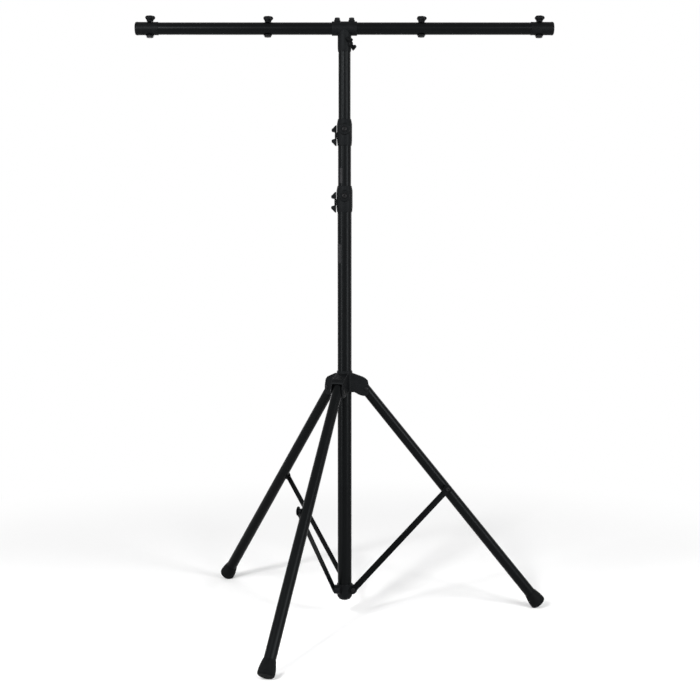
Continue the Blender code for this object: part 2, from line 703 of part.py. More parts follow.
def build_tee(stand):
    """The tee that joins the arms to the mast, with its wing screw and two bar screws."""
    along_bar = facing((1, 0, 0))
    sleeve = rod(BAR_SLEEVE_RADIUS, -TEE_HALF_LENGTH, TEE_HALF_LENGTH, TUBE_SIDES)
    tee = place(sleeve, "tee", cast_metal(), stand, (0, 0, BAR_Z), along_bar)
    low = BAR_Z - TEE_DROP
    socket = [
        (0, low),
        (TEE_RADIUS - TEE_WALL / 2, low),
        (TEE_RADIUS, low + TEE_TAPER),
        (TEE_RADIUS, BAR_Z + TEE_WALL / 2),
        (0, BAR_Z + TEE_WALL / 2),
    ]
    add_to(tee, turned(socket, TUBE_SIDES), "socket", stand)
    knob_z = BAR_Z - TEE_KNOB_DROP
    knob_face = TEE_RADIUS + KNOB_BOSS_STANDS
    boss = rod(WING_HUB_RADIUS, TEE_BORE / 2, knob_face, LEG_SIDES)
    toward = facing(heading(TEE_KNOB_AZIMUTH))
    add_to(tee, boss, "knob_boss", stand, (0, 0, knob_z), toward)
    nut_top = BAR_Z + BAR_SLEEVE_RADIUS + WELD_NUT_HEIGHT
    sides = (("left", -TEE_SCREW_OFFSET), ("right", TEE_SCREW_OFFSET))
    for side, x in sides:
        nut = rod(hexagon(WELD_NUT_RADIUS), BAR_Z + BAR_BORE / 2, nut_top)
        add_to(tee, nut, f"nut_{side}", stand, (x, 0, 0))
    bar_bore = rod(BAR_BORE, -TEE_HALF_LENGTH - CUT_REACH, TEE_HALF_LENGTH + CUT_REACH, TUBE_SIDES)
    cut_from(tee, bar_bore, "bar_bore", stand, (0, 0, BAR_Z), along_bar)
    socket_bore = rod(TEE_BORE, low - CUT_REACH, TOP_TUBE_TOP + SEAT_GAP, TUBE_SIDES)
    cut_from(tee, socket_bore, "socket_bore", stand)
    screw_hole = WING_SCREW_RADIUS + HOLE_GAP
    for side, x in sides:
        hole = rod(screw_hole, BAR_Z, nut_top + CUT_REACH)
        cut_from(tee, hole, f"screw_hole_{side}", stand, (x, 0, 0))
        seat = nut_top + SEAT_GAP
        tip = BAR_Z + BAR_RADIUS + RUNNING_GAP
        profile = [
            (0, tip - seat),
            (WING_SCREW_RADIUS, tip - seat),
            (WING_SCREW_RADIUS, 0),
            (hexagon(BAR_SCREW_HEAD_RADIUS), 0),
            (hexagon(BAR_SCREW_HEAD_RADIUS), BAR_SCREW_HEAD_HEIGHT - 0.001),
            (BAR_SCREW_HEAD_RADIUS * 0.8, BAR_SCREW_HEAD_HEIGHT),
            (0, BAR_SCREW_HEAD_HEIGHT),
        ]
        screw = turned(profile, BOLT_SIDES)
        place(screw, f"bar_screw_{side}", blackened_screw(), stand, (x, 0, seat))
    side_hole(tee, "knob_hole", stand, TEE_KNOB_AZIMUTH, knob_z, screw_hole)
    tip = TOP_TUBE_RADIUS + RUNNING_GAP
    seat = knob_face + SEAT_GAP
    wing_screw("tee_knob", stand, TEE_KNOB_AZIMUTH, knob_z, seat, tip, TEE_WING_TILT, SMALL_WING)


def star_profile():
    """A star knob with a blind hole for its bolt, standing on z = 0."""
    hole = LAMP_BOLT_RADIUS + HOLE_GAP
    return [
        (0, LAMP_BOLT_IN_KNOB + 0.001),
        (hole, LAMP_BOLT_IN_KNOB + 0.001),
        (hole, 0),
        (STAR_FOOT_RADIUS, 0),
        (STAR_FOOT_RADIUS, STAR_HEIGHT * 0.22),
        (star(STAR_RADIUS - 0.0012, STAR_LOBE_DEPTH * 0.5), STAR_HEIGHT * 0.44),
        (star(STAR_RADIUS, STAR_LOBE_DEPTH), STAR_HEIGHT * 0.66),
        (star(STAR_RADIUS - 0.001, STAR_LOBE_DEPTH), STAR_HEIGHT * 0.84),
        (star(STAR_RADIUS - 0.0036, STAR_LOBE_DEPTH * 0.5), STAR_HEIGHT),
        (STAR_FOOT_RADIUS * 0.6, STAR_HEIGHT),
        (0, STAR_HEIGHT - 0.001),
    ]


def lamp_bolt(side, spot_name, stand, x, carrier_radius):
    """A bolt through an arm for hanging a lamp, with its washer below and star knob above."""
    top = BAR_Z + carrier_radius + SEAT_GAP
    washer_top = BAR_Z - carrier_radius - SEAT_GAP
    seat = washer_top - WASHER_THICKNESS - SEAT_GAP
    name = f"{side}_{spot_name}"
    shank = top + LAMP_BOLT_IN_KNOB - seat
    profile = [
        (0, -LAMP_BOLT_HEAD_HEIGHT),
        (LAMP_BOLT_HEAD_RADIUS * 0.8, -LAMP_BOLT_HEAD_HEIGHT),
        (hexagon(LAMP_BOLT_HEAD_RADIUS), -LAMP_BOLT_HEAD_HEIGHT + 0.0012),
        (hexagon(LAMP_BOLT_HEAD_RADIUS), 0),
        (LAMP_BOLT_RADIUS, 0),
        (LAMP_BOLT_RADIUS, shank),
        (0, shank),
    ]
    place(turned(profile, BOLT_SIDES), f"lamp_bolt_{name}", blackened_screw(), stand, (x, 0, seat))
    washer_hole = LAMP_BOLT_RADIUS + HOLE_GAP
    washer = pipe(WASHER_RADIUS, washer_hole, 0, WASHER_THICKNESS, BOLT_SIDES + 4)
    spot = (x, 0, washer_top - WASHER_THICKNESS)
    place(washer, f"lamp_washer_{name}", blackened_screw(), stand, spot)
    knob = turned(star_profile(), STAR_SIDES)
    place(knob, f"star_knob_{name}", moulded_plastic(), stand, (x, 0, top))


def build_arm(side, sign, stand):
    """One arm of the T-bar, from the middle of the tee out to its cap."""
    outward = facing((sign, 0, 0))
    end = BAR_HALF_SPAN - CAP_END - SEAT_GAP
    tube = pipe(BAR_RADIUS, BAR_RADIUS - BAR_WALL, BAR_CENTRE_GAP, end)
    bar = place(tube, f"bar_{side}", painted_steel(), stand, (0, 0, BAR_Z), outward)
    cap_bore = BAR_RADIUS + SEAT_GAP
    cap_radius = cap_bore + CAP_WALL
    profile = [
        (0, end + SEAT_GAP),
        (cap_bore, end + SEAT_GAP),
        (cap_bore, BAR_HALF_SPAN - CAP_LENGTH),
        (cap_radius - 0.001, BAR_HALF_SPAN - CAP_LENGTH),
        (cap_radius, BAR_HALF_SPAN - CAP_LENGTH + 0.001),
        (cap_radius, BAR_HALF_SPAN - CAP_EDGE),
        (cap_radius - CAP_EDGE * 0.3, BAR_HALF_SPAN - CAP_EDGE * 0.3),
        (cap_radius - CAP_EDGE, BAR_HALF_SPAN),
        (0, BAR_HALF_SPAN),
    ]
    cap_shape = turned(profile, TUBE_SIDES)
    cap = place(cap_shape, f"bar_cap_{side}", moulded_plastic(), stand, (0, 0, BAR_Z), outward)
    for spot_name, offset in LAMP_BOLT_OFFSETS.items():
        x = sign * offset
        in_cap = offset > BAR_HALF_SPAN - CAP_LENGTH
        for piece in (bar, cap) if in_cap else (bar,):
            hole = rod(LAMP_BOLT_RADIUS + HOLE_GAP, -cap_radius * 2, cap_radius * 2)
            cut_from(piece, hole, f"bolt_hole_{spot_name}", stand, (x, 0, BAR_Z))
        lamp_bolt(side, spot_name, stand, x, cap_radius if in_cap else BAR_RADIUS)


def centre_on_floor(stand):
    """Moves the stand so that the middle of its box's underside is the origin."""
    bpy.context.view_layer.update()
    graph = bpy.context.evaluated_depsgraph_get()
    corners = []
    for piece in bpy.data.objects:
        if piece.type == "MESH" and not piece.hide_render:
            solid = piece.evaluated_get(graph)
            corners += [solid.matrix_world @ vertex.co for vertex in solid.data.vertices]
    low = [min(corner[axis] for corner in corners) for axis in range(3)]
    high = [max(corner[axis] for corner in corners) for axis in range(3)]
    stand.location = (-(low[0] + high[0]) / 2, -(low[1] + high[1]) / 2, -low[2])


def build():
    for left_over in list(bpy.data.objects):
        bpy.data.objects.remove(left_over)
    stand = frame_at("stand")
    leg_frames = {}
    for step, name in enumerate(LEG_NAMES):
        azimuth = FRONT_LEG_AZIMUTH + step * LEG_STEP
        turn = (0, 0, azimuth - math.pi / 2)
        leg_frames[name] = frame_at(f"{name}_leg_frame", stand, rotation=turn)
    build_mast(stand)
    build_mast_foot(stand, leg_frames)
    build_leg_hub(stand, leg_frames)
    for name, frame in leg_frames.items():
        build_leg(name, frame)
        build_brace(name, frame)
    build_tee(stand)
    build_arm("left", -1, stand)
    build_arm("right", 1, stand)
    centre_on_floor(stand)


build()
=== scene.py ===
"""The looks of a light stand: finer pieces, finishes, floor, lamps and camera.

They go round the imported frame. Metres, +Z up. The mast is upright, and the T-bar runs along X.
"""

import logging
import math
from abc import ABC, abstractmethod
from collections.abc import Callable, Iterator, Sequence
from dataclasses import dataclass, field
from enum import Enum

import bmesh
import bpy
from mathutils import Matrix, Vector


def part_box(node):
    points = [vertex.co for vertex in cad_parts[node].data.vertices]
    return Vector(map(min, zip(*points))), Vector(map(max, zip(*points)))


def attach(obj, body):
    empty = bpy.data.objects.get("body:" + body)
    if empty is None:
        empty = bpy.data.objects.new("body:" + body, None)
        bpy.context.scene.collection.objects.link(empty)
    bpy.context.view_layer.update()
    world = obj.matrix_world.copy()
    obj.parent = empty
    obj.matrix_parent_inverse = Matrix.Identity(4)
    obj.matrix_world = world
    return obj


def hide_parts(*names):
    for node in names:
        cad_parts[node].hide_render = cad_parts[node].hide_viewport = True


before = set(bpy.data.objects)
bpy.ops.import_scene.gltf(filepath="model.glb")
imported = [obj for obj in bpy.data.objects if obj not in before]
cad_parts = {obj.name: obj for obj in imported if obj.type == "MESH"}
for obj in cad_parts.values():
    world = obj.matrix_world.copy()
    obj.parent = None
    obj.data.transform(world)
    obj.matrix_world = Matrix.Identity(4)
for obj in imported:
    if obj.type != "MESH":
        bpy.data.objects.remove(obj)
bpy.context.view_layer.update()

log = logging.getLogger("light_stand")

Shape = bmesh.types.BMesh
Colour = tuple[float, float, float]
Point = tuple[float, float]
Reach = float | Callable[[float], float]
Profile = Sequence[tuple[Reach, float]]
Settings = dict[str | int, object]

FULL_TURN = 2 * math.pi
QUARTER_TURN = math.pi / 2


# Shader maths


class Signal:
    """A number that varies over a surface. Python's operators add Math nodes to it."""

    def __init__(self, nodes: "Nodes", socket: bpy.types.NodeSocket) -> None:
        """Wraps an output socket of these nodes."""
        self.nodes = nodes
        self.socket = socket

    def _maths(self, operation: str, *terms: "Signal | float") -> "Signal":
        """The result of a Math node with these terms."""
        inputs = dict(enumerate(terms))
        return self.nodes.signal("ShaderNodeMath", 0, {"operation": operation}, inputs)

    def __add__(self, other: "Signal | float") -> "Signal":
        """Sum."""
        return self._maths("ADD", self, other)

    def __sub__(self, other: "Signal | float") -> "Signal":
        """Difference."""
        return self._maths("SUBTRACT", self, other)

    def __rsub__(self, other: float) -> "Signal":
        """Difference from a number."""
        return self._maths("SUBTRACT", other, self)

    def __mul__(self, other: "Signal | float") -> "Signal":
        """Product."""
        return self._maths("MULTIPLY", self, other)

    def at_least(self, other: "Signal | float") -> "Signal":
        """The larger of the two."""
        return self._maths("MAXIMUM", self, other)

    def at_most(self, other: "Signal | float") -> "Signal":
        """The smaller of the two."""
        return self._maths("MINIMUM", self, other)

    def rise(self, low: float, high: float) -> "Signal":
        """A smooth step.

        Args:
            low: the value at which the step starts, where it gives 0.
            high: the value at which it ends, where it gives 1.

        Returns:
            The step, from 0 to 1.
        """
        settings = {"interpolation_type": "SMOOTHSTEP"}
        inputs = {"Value": self, "From Min": low, "From Max": high}
        return self.nodes.signal("ShaderNodeMapRange", "Result", settings, inputs)


class Nodes:
    """Adds nodes to one tree."""

    def __init__(self, tree: bpy.types.NodeTree) -> None:
        """Keeps the tree."""
        self.tree = tree

    def add(
        self, kind: str, settings: Settings | None = None, inputs: Settings | None = None
    ) -> bpy.types.Node:
        """Adds a node.

        Args:
            kind: the node's type.
            settings: its properties, set first.
            inputs: values or links for its sockets, by name or place.

        Returns:
            The node.
        """
        node = self.tree.nodes.new(kind)
        for key, value in (settings or {}).items():
            setattr(node, key, value)
        for key, value in (inputs or {}).items():
            self.feed(node.inputs[key], value)
        return node

    def feed(self, socket: bpy.types.NodeSocket, value: object) -> None:
        """Links a socket or sets its value.

        Args:
            socket: the input.
            value: a Signal, an output socket, a number, or a colour of three numbers.
        """
        if isinstance(value, Signal):
            value = value.socket
        if isinstance(value, bpy.types.NodeSocket):
            self.tree.links.new(value, socket)
        elif isinstance(value, tuple) and socket.type == "RGBA":
            socket.default_value = (*value, 1)
        else:
            socket.default_value = value

    def signal(
        self, kind: str, output: str | int, settings: Settings | None, inputs: Settings | None
    ) -> Signal:
        """Adds a node and takes one of its outputs.

        Args:
            kind: the node's type.
            output: the output's name or place.
            settings: its properties.
            inputs: values or links for its sockets.

        Returns:
            The output.
        """
        return Signal(self, self.add(kind, settings, inputs).outputs[output])

    def seen(self) -> Signal:
        """Tells the rays that show a surface from those that only light it.

        Returns:
            1 for a ray of the camera, from a mirror or through glass, and 0 for the others.
        """
        rays = self.add("ShaderNodeLightPath").outputs
        names = ("Is Camera Ray", "Is Glossy Ray", "Is Transmission Ray")
        straight, mirrored, through = (Signal(self, rays[name]) for name in names)
        return straight.at_least(mirrored).at_least(through)


class Painter(Nodes):
    """Builds one material's nodes round its Principled shader."""

    def __init__(self, name: str) -> None:
        """Makes the material.

        Args:
            name: the material's name.
        """
        self.material = bpy.data.materials.new(name)
        self.material.use_nodes = True
        super().__init__(self.material.node_tree)
        self.shader = self.tree.nodes["Principled BSDF"]
        self.place = self.add("ShaderNodeTexCoord").outputs["Object"]

    def noise(
        self, scale: float, detail: float = 3, stretch: Sequence[float] = (1, 1, 1)
    ) -> Signal:
        """Soft noise from 0 to 1.

        Args:
            scale: cells to the metre.
            detail: octaves.
            stretch: scale along each axis.

        Returns:
            The noise.
        """
        mapping = self.add("ShaderNodeMapping", None, {"Vector": self.place, "Scale": stretch})
        inputs = {"Vector": mapping.outputs["Vector"], "Scale": scale, "Detail": detail}
        return self.signal("ShaderNodeTexNoise", 0, None, inputs)

    def cells(self, scale: float) -> Signal:
        """Distance to the nearest of random points, with scale cells to the metre."""
        inputs = {"Vector": self.place, "Scale": scale}
        return self.signal("ShaderNodeTexVoronoi", "Distance", None, inputs)

    def axis(self, letter: str) -> Signal:
        """One coordinate of the surface's place."""
        return self.signal("ShaderNodeSeparateXYZ", letter, None, {"Vector": self.place})

    def corners(self, low: float, high: float) -> Signal:
        """A mask of outer edges, from 0 at the low pointiness to 1 at the high one."""
        return self.signal("ShaderNodeNewGeometry", "Pointiness", None, None).rise(low, high)

    def blend(self, factor: Signal, one: object, other: object) -> bpy.types.NodeSocket:
        """Mixes two colours.

        Args:
            factor: 0 gives one, and 1 gives the other.
            one: a colour or socket.
            other: a colour or socket.

        Returns:
            The mixed colour.
        """
        settings = {"data_type": "RGBA", "clamp_factor": True}
        node = self.add("ShaderNodeMix", settings, {"Factor": factor, 6: one, 7: other})
        return node.outputs[2]

    def relief(self, height: Signal, depth: float) -> None:
        """Adds bumps to the surface, over those that it has.

        Args:
            height: the pattern, from 0 to 1.
            depth: its height in metres.
        """
        before = self.shader.inputs["Normal"]
        inputs = {"Height": height, "Distance": depth, "Strength": 1.0}
        if before.is_linked:
            inputs["Normal"] = before.links[0].from_socket
        self.feed(before, self.add("ShaderNodeBump", None, inputs).outputs["Normal"])

    def set(self, **values: object) -> None:
        """Feeds the shader's sockets, named with _ for a space."""
        for key, value in values.items():
            self.feed(self.shader.inputs[key.replace("_", " ")], value)


# Finishes

# The tint of the sheen on black: the photo's highlights are a little cooler than white.
COOL_SHINE = (0.91, 0.97, 1.0)


class Slot(Enum):
    """The material slots."""

    PAINT = "painted_steel"
    CAST = "cast_metal"
    PLASTIC = "moulded_plastic"
    SCREW = "blackened_screw"
    RUBBER = "boot_rubber"


class Recipe(ABC):
    """How one finish is painted."""

    def make(self, name: str) -> bpy.types.Material:
        """Makes the material.

        Args:
            name: its name.

        Returns:
            The material.
        """
        paint = Painter(name)
        self.coat(paint)
        return paint.material

    @abstractmethod
    def coat(self, paint: Painter) -> None:
        """Gives the material its nodes.

        Args:
            paint: the material's painter.
        """


@dataclass(frozen=True)
class SatinPaint(Recipe):
    """Black satin paint on drawn tube, rubbed where tubes slide."""

    colour: Colour = (0.0007, 0.0008, 0.0009)
    worn: Colour = (0.0018, 0.0020, 0.0022)
    dust: Colour = (0.010, 0.010, 0.010)
    scratch: Colour = (0.012, 0.0125, 0.0135)
    roughness: float = 0.29
    reflection: float = 0.057
    rub: float = 0.0

    def coat(self, paint: Painter) -> None:
        """Adds clouds, specks of dust, hairlines where tubes slide, and worn edges.

        Args:
            paint: the material's painter.
        """
        tone = paint.noise(7, 4)
        patches = paint.noise(38, 5).rise(0.52, 0.80)
        specks = (1 - paint.cells(620).rise(0.06, 0.16)) * paint.noise(52, 2).rise(0.50, 0.72)
        hairlines = paint.noise(900, 2, (1, 1, 0.012)).rise(0.60, 0.72)
        marks = hairlines * paint.noise(11, 3).rise(0.46, 0.62) * self.rub
        edges = paint.corners(0.515, 0.56)
        colour = paint.blend(tone.rise(0.3, 0.7) * 0.5, self.colour, self.worn)
        colour = paint.blend(specks * 0.55, colour, self.dust)
        colour = paint.blend(marks, colour, self.scratch)
        colour = paint.blend(edges * 0.7, colour, self.worn)
        matt = patches * 0.10 + tone * 0.06 + specks * 0.2 + marks * 0.1 + self.roughness
        paint.set(Base_Color=colour, Roughness=matt.at_most(0.9))
        paint.set(Specular_IOR_Level=self.reflection, Specular_Tint=COOL_SHINE)
        paint.relief(paint.noise(420, 2), 0.00006)
        paint.relief(paint.noise(1900, 2) * 0.7 + specks * 0.3, 0.00002)


@dataclass(frozen=True)
class CastCoat(Recipe):
    """A coat on sand-cast metal that keeps the casting's pebbled skin."""

    colour: Colour = (0.0016, 0.0018, 0.0021)
    hollow: Colour = (0.0034, 0.0037, 0.0041)
    edge: Colour = (0.013, 0.0135, 0.015)
    roughness: float = 0.40
    reflection: float = 0.062

    def coat(self, paint: Painter) -> None:
        """Adds pebbles, pits and rubbed edges.

        Args:
            paint: the material's painter.
        """
        broad = paint.noise(60, 4)
        pebbles = paint.noise(520, 4)
        pits = 1 - paint.cells(760).rise(0.05, 0.22)
        edges = paint.corners(0.52, 0.60) * paint.noise(150, 3).rise(0.40, 0.60)
        colour = paint.blend(broad.rise(0.35, 0.70) * 0.45, self.colour, self.hollow)
        colour = paint.blend(pits * 0.35, colour, self.hollow)
        colour = paint.blend(edges * 0.65, colour, self.edge)
        matt = broad * 0.16 + pebbles * 0.08 - edges * 0.12 + self.roughness
        paint.set(Base_Color=colour, Roughness=matt)
        paint.set(Specular_IOR_Level=self.reflection, Specular_Tint=COOL_SHINE)
        paint.relief(pebbles, 0.00030)
        paint.relief(paint.noise(1500, 3) + pits * 0.6, 0.00010)


@dataclass(frozen=True)
class MouldedPlastic(Recipe):
    """Spark-eroded black nylon, a little polished by fingers on its edges, which carry a painted
    sheen.
    """

    colour: Colour = (0.0013, 0.0014, 0.0016)
    # A lighter tone for the random clouds, and the painted sheen on the edges.
    tone_and_sheen: Colour = (0.0042, 0.0044, 0.0047)
    roughness: float = 0.36
    reflection: float = 0.060

    def coat(self, paint: Painter) -> None:
        """Adds the mould's grain, and smoother edges with a painted sheen.

        Args:
            paint: the material's painter.
        """
        grain = paint.cells(1500)
        cloud = paint.noise(90, 4)
        edges = paint.corners(0.51, 0.58)
        colour = paint.blend(cloud.rise(0.35, 0.75) * 0.4, self.colour, self.tone_and_sheen)
        # Lighter edges: a painted sheen.
        colour = paint.blend(edges * 0.5, colour, self.tone_and_sheen)
        matt = cloud * 0.14 + grain * 0.06 - edges * 0.14 + self.roughness
        paint.set(Base_Color=colour, Roughness=matt)
        paint.set(Specular_IOR_Level=self.reflection, Specular_Tint=COOL_SHINE)
        paint.relief(grain, 0.00007)
        paint.relief(paint.noise(240, 2), 0.00008)


@dataclass(frozen=True)
class BlackenedSteel(Recipe):
    """Black-oxide steel: oily dark metal with bright bruises on its corners."""

    colour: Colour = (0.0036, 0.0037, 0.0041)
    oily: Colour = (0.0056, 0.0057, 0.0062)
    bright: Colour = (0.018, 0.0185, 0.020)
    roughness: float = 0.34
    metallic: float = 0.85

    def coat(self, paint: Painter) -> None:
        """Adds clouds of oil, fine turning marks and bruised corners.

        Args:
            paint: the material's painter.
        """
        cloud = paint.noise(260, 4)
        rings = paint.noise(1400, 3)
        edges = paint.corners(0.52, 0.62) * paint.noise(420, 2).rise(0.38, 0.62)
        colour = paint.blend(cloud.rise(0.3, 0.75), self.colour, self.oily)
        colour = paint.blend(edges * 0.8, colour, self.bright)
        matt = cloud * 0.16 + rings * 0.08 - edges * 0.12 + self.roughness
        paint.set(Base_Color=colour, Metallic=self.metallic, Roughness=matt)
        paint.relief(rings, 0.00003)


@dataclass(frozen=True)
class BootRubber(Recipe):
    """Matt rubber, greyed by floor dust towards the sole."""

    colour: Colour = (0.0010, 0.0011, 0.0012)
    bloom: Colour = (0.0055, 0.0056, 0.0060)
    dust: Colour = (0.0075, 0.0075, 0.0075)
    roughness: float = 0.62
    reflection: float = 0.060
    dust_height: float = 0.020

    def coat(self, paint: Painter) -> None:
        """Adds grime at the sole, clouds and scuffs.

        Args:
            paint: the material's painter.
        """
        grime = (1 - paint.axis("Z").rise(0.0, self.dust_height)) * paint.noise(180, 4)
        cloud = paint.noise(70, 4)
        scuffs = paint.noise(330, 4).rise(0.56, 0.72)
        colour = paint.blend(cloud.rise(0.3, 0.7) * 0.3, self.colour, self.bloom)
        colour = paint.blend(grime * 0.75 + scuffs * 0.12, colour, self.dust)
        matt = cloud * 0.10 + grime * 0.25 + self.roughness
        paint.set(Base_Color=colour, Roughness=matt.at_most(0.95))
        paint.set(Specular_IOR_Level=self.reflection, Specular_Tint=COOL_SHINE)
        paint.relief(paint.noise(700, 3), 0.00012)
        paint.relief(paint.noise(2400, 2), 0.00003)


@dataclass(frozen=True)
class LabelWithPaintedHighlight(Recipe):
    """A worn blank sticker whose pale grey is a painted highlight."""

    # Pale grey: a painted highlight.
    colour: Colour = (0.017, 0.017, 0.018)
    worn: Colour = (0.006, 0.006, 0.0065)
    roughness: float = 0.42
    reflection: float = 0.06

    def coat(self, paint: Painter) -> None:
        """Adds fibres and worn patches.

        Args:
            paint: the material's painter.
        """
        wear = paint.noise(160, 5).rise(0.46, 0.68)
        fibres = paint.noise(1300, 3)
        colour = paint.blend(wear * 0.75, self.colour, self.worn)
        paint.set(Base_Color=colour, Roughness=fibres * 0.15 + self.roughness)
        paint.set(Specular_IOR_Level=self.reflection)
        paint.relief(fibres, 0.00003)


class Finish(Enum):
    """Every finish on the stand, with the slot that it belongs to."""

    TUBE = ("tube_paint", SatinPaint(), Slot.PAINT)
    SLIDING = ("sliding_tube_paint", SatinPaint(rub=0.55), Slot.PAINT)
    STRIP = ("strip_paint", SatinPaint(roughness=0.42, reflection=0.04), Slot.PAINT)
    CAST = ("cast_coat", CastCoat(), Slot.CAST)
    PLASTIC = ("moulded_black", MouldedPlastic(), Slot.PLASTIC)
    SCREW = ("black_oxide", BlackenedSteel(), Slot.SCREW)
    RUBBER = ("boot_rubber_skin", BootRubber(), Slot.RUBBER)
    # A sticker whose pale grey is a painted highlight.
    LABEL_WITH_HIGHLIGHT = ("blank_label", LabelWithPaintedHighlight(), Slot.PAINT)

    def material(self) -> bpy.types.Material:
        """The finish's material, made once."""
        name, recipe, _ = self.value
        return bpy.data.materials.get(name) or recipe.make(name)

    @property
    def slot(self) -> str:
        """The name of the finish's slot."""
        return self.value[2].value


# Shapes


def lathe(profile: Profile, sides: int, ring: bool = False) -> Shape:
    """Turns a profile round Z.

    Args:
        profile: pairs of radius and height. A radius may be a function of the angle.
        sides: facets round the axis.
        ring: whether the profile closes on itself, as for a pipe.

    Returns:
        The closed shape.
    """
    shape = bmesh.new()
    angles = [FULL_TURN * step / sides for step in range(sides)]
    rows = []
    for reach, height in profile:
        row = []
        for angle in angles if reach else angles[:1]:
            radius = reach(angle) if callable(reach) else reach
            spot = (radius * math.cos(angle), radius * math.sin(angle), height)
            row.append(shape.verts.new(spot))
        rows.append(row)
    for one, other in zip(rows, rows[1:] + rows[:1] if ring else rows[1:]):
        for step in range(sides):
            after = (step + 1) % sides
            corners = [one[step % len(one)], one[after % len(one)]]
            corners += [other[after % len(other)], other[step % len(other)]]
            shape.faces.new(list(dict.fromkeys(corners)))
    return shape


def prism(outline: Sequence[Point], low: float, high: float) -> Shape:
    """Gives an outline of (x, z) points a thickness along Y.

    Args:
        outline: the points in order.
        low: the near side's y.
        high: the far side's y.

    Returns:
        The closed shape.
    """
    shape = bmesh.new()
    near, far = ([shape.verts.new((x, y, z)) for x, z in outline] for y in (low, high))
    shape.faces.new(near)
    shape.faces.new(list(reversed(far)))
    for step in range(len(outline)):
        after = (step + 1) % len(outline)
        shape.faces.new((near[step], far[step], far[after], near[after]))
    return shape


def smooth_curve(points: Sequence[Point], steps: int) -> list[Point]:
    """Runs a smooth line through points.

    Args:
        points: the points, ends included.
        steps: the new points between each two.

    Returns:
        The line's points.
    """
    line = []
    for index in range(len(points) - 1):
        after = points[min(index + 2, len(points) - 1)]
        parts = (points[max(index - 1, 0)], points[index], points[index + 1], after)
        for step in range(steps):
            t = step / steps
            weights = (
                (-t + 2 * t**2 - t**3) / 2,
                (2 - 5 * t**2 + 3 * t**3) / 2,
                (t + 4 * t**2 - 3 * t**3) / 2,
                (t**3 - t**2) / 2,
            )
            line.append(tuple(sum(w * p[k] for w, p in zip(weights, parts)) for k in (0, 1)))
    return line + [tuple(points[-1])]


def quarter(
    centre: Point, wide: float, tall: float, steps: int, first: int = 0, last: int | None = None
) -> list[Point]:
    """Points on a quarter of an ellipse, from its side to its top.

    Args:
        centre: the ellipse's middle.
        wide: its half width.
        tall: its half height. A negative one gives the quarter below the middle.
        steps: the steps of the whole quarter.
        first: the step of the first point.
        last: the step of the last point, where the quarter stops early.

    Returns:
        The points.
    """
    across, up = centre
    angles = [QUARTER_TURN * step / steps for step in range(first, (last or steps) + 1)]
    return [(across + wide * math.cos(turn), up + tall * math.sin(turn)) for turn in angles]


def hexagon(corner_radius: float) -> Callable[[float], float]:
    """A hexagon's radius as a function of the angle."""
    flat = corner_radius * math.cos(math.pi / 6)
    return lambda angle: flat / math.cos(angle % (math.pi / 3) - math.pi / 6)


def lobes(radius: float, depth: float, count: int = 5) -> Callable[[float], float]:
    """A lobed knob's radius as a function of the angle."""
    return lambda angle: radius + depth * math.cos(count * angle)


def meshed(name: str, shape: Shape) -> bpy.types.Mesh:
    """Turns a shape into a mesh.

    Args:
        name: the mesh's name.
        shape: the shape, which is used up.

    Returns:
        The mesh.
    """
    mesh = bpy.data.meshes.new(name)
    shape.to_mesh(mesh)
    shape.free()
    return mesh


def joined(one: Shape, other: Shape) -> Shape:
    """One shape that holds both.

    Args:
        one: the shape that takes the other in.
        other: the shape that is used up.

    Returns:
        The first shape.
    """
    mesh = meshed("joined", other)
    one.from_mesh(mesh)
    bpy.data.meshes.remove(mesh)
    return one


def linked(name: str, data: bpy.types.ID) -> bpy.types.Object:
    """Puts a new object in the scene.

    Args:
        name: its name.
        data: its mesh, light or camera.

    Returns:
        The object.
    """
    thing = bpy.data.objects.new(name, data)
    bpy.context.scene.collection.objects.link(thing)
    return thing


def heading(azimuth: float) -> Vector:
    """The level direction at an angle round the mast, counted from the front."""
    return Vector((math.sin(azimuth), -math.cos(azimuth), 0))


def turned(where: Matrix, axis: Sequence[float]) -> Vector:
    """The direction of a placed frame's axis."""
    return (where.to_3x3() @ Vector(axis)).normalized()


def pointing(spot: Vector, direction: Vector, spin: float = 0.0) -> Matrix:
    """Puts a shape's origin at a spot and its +Z along a direction.

    Args:
        spot: where the origin goes.
        direction: where +Z points.
        spin: a turn about +Z first.

    Returns:
        The placing matrix.
    """
    turn = direction.to_track_quat("Z", "Y").to_matrix().to_4x4()
    return Matrix.Translation(spot) @ turn @ Matrix.Rotation(spin, 4, "Z")


@dataclass(frozen=True)
class Spot:
    """What a piece belongs to: its CAD node, the body that carries it, and its place."""

    node: str
    body: str
    where: Matrix


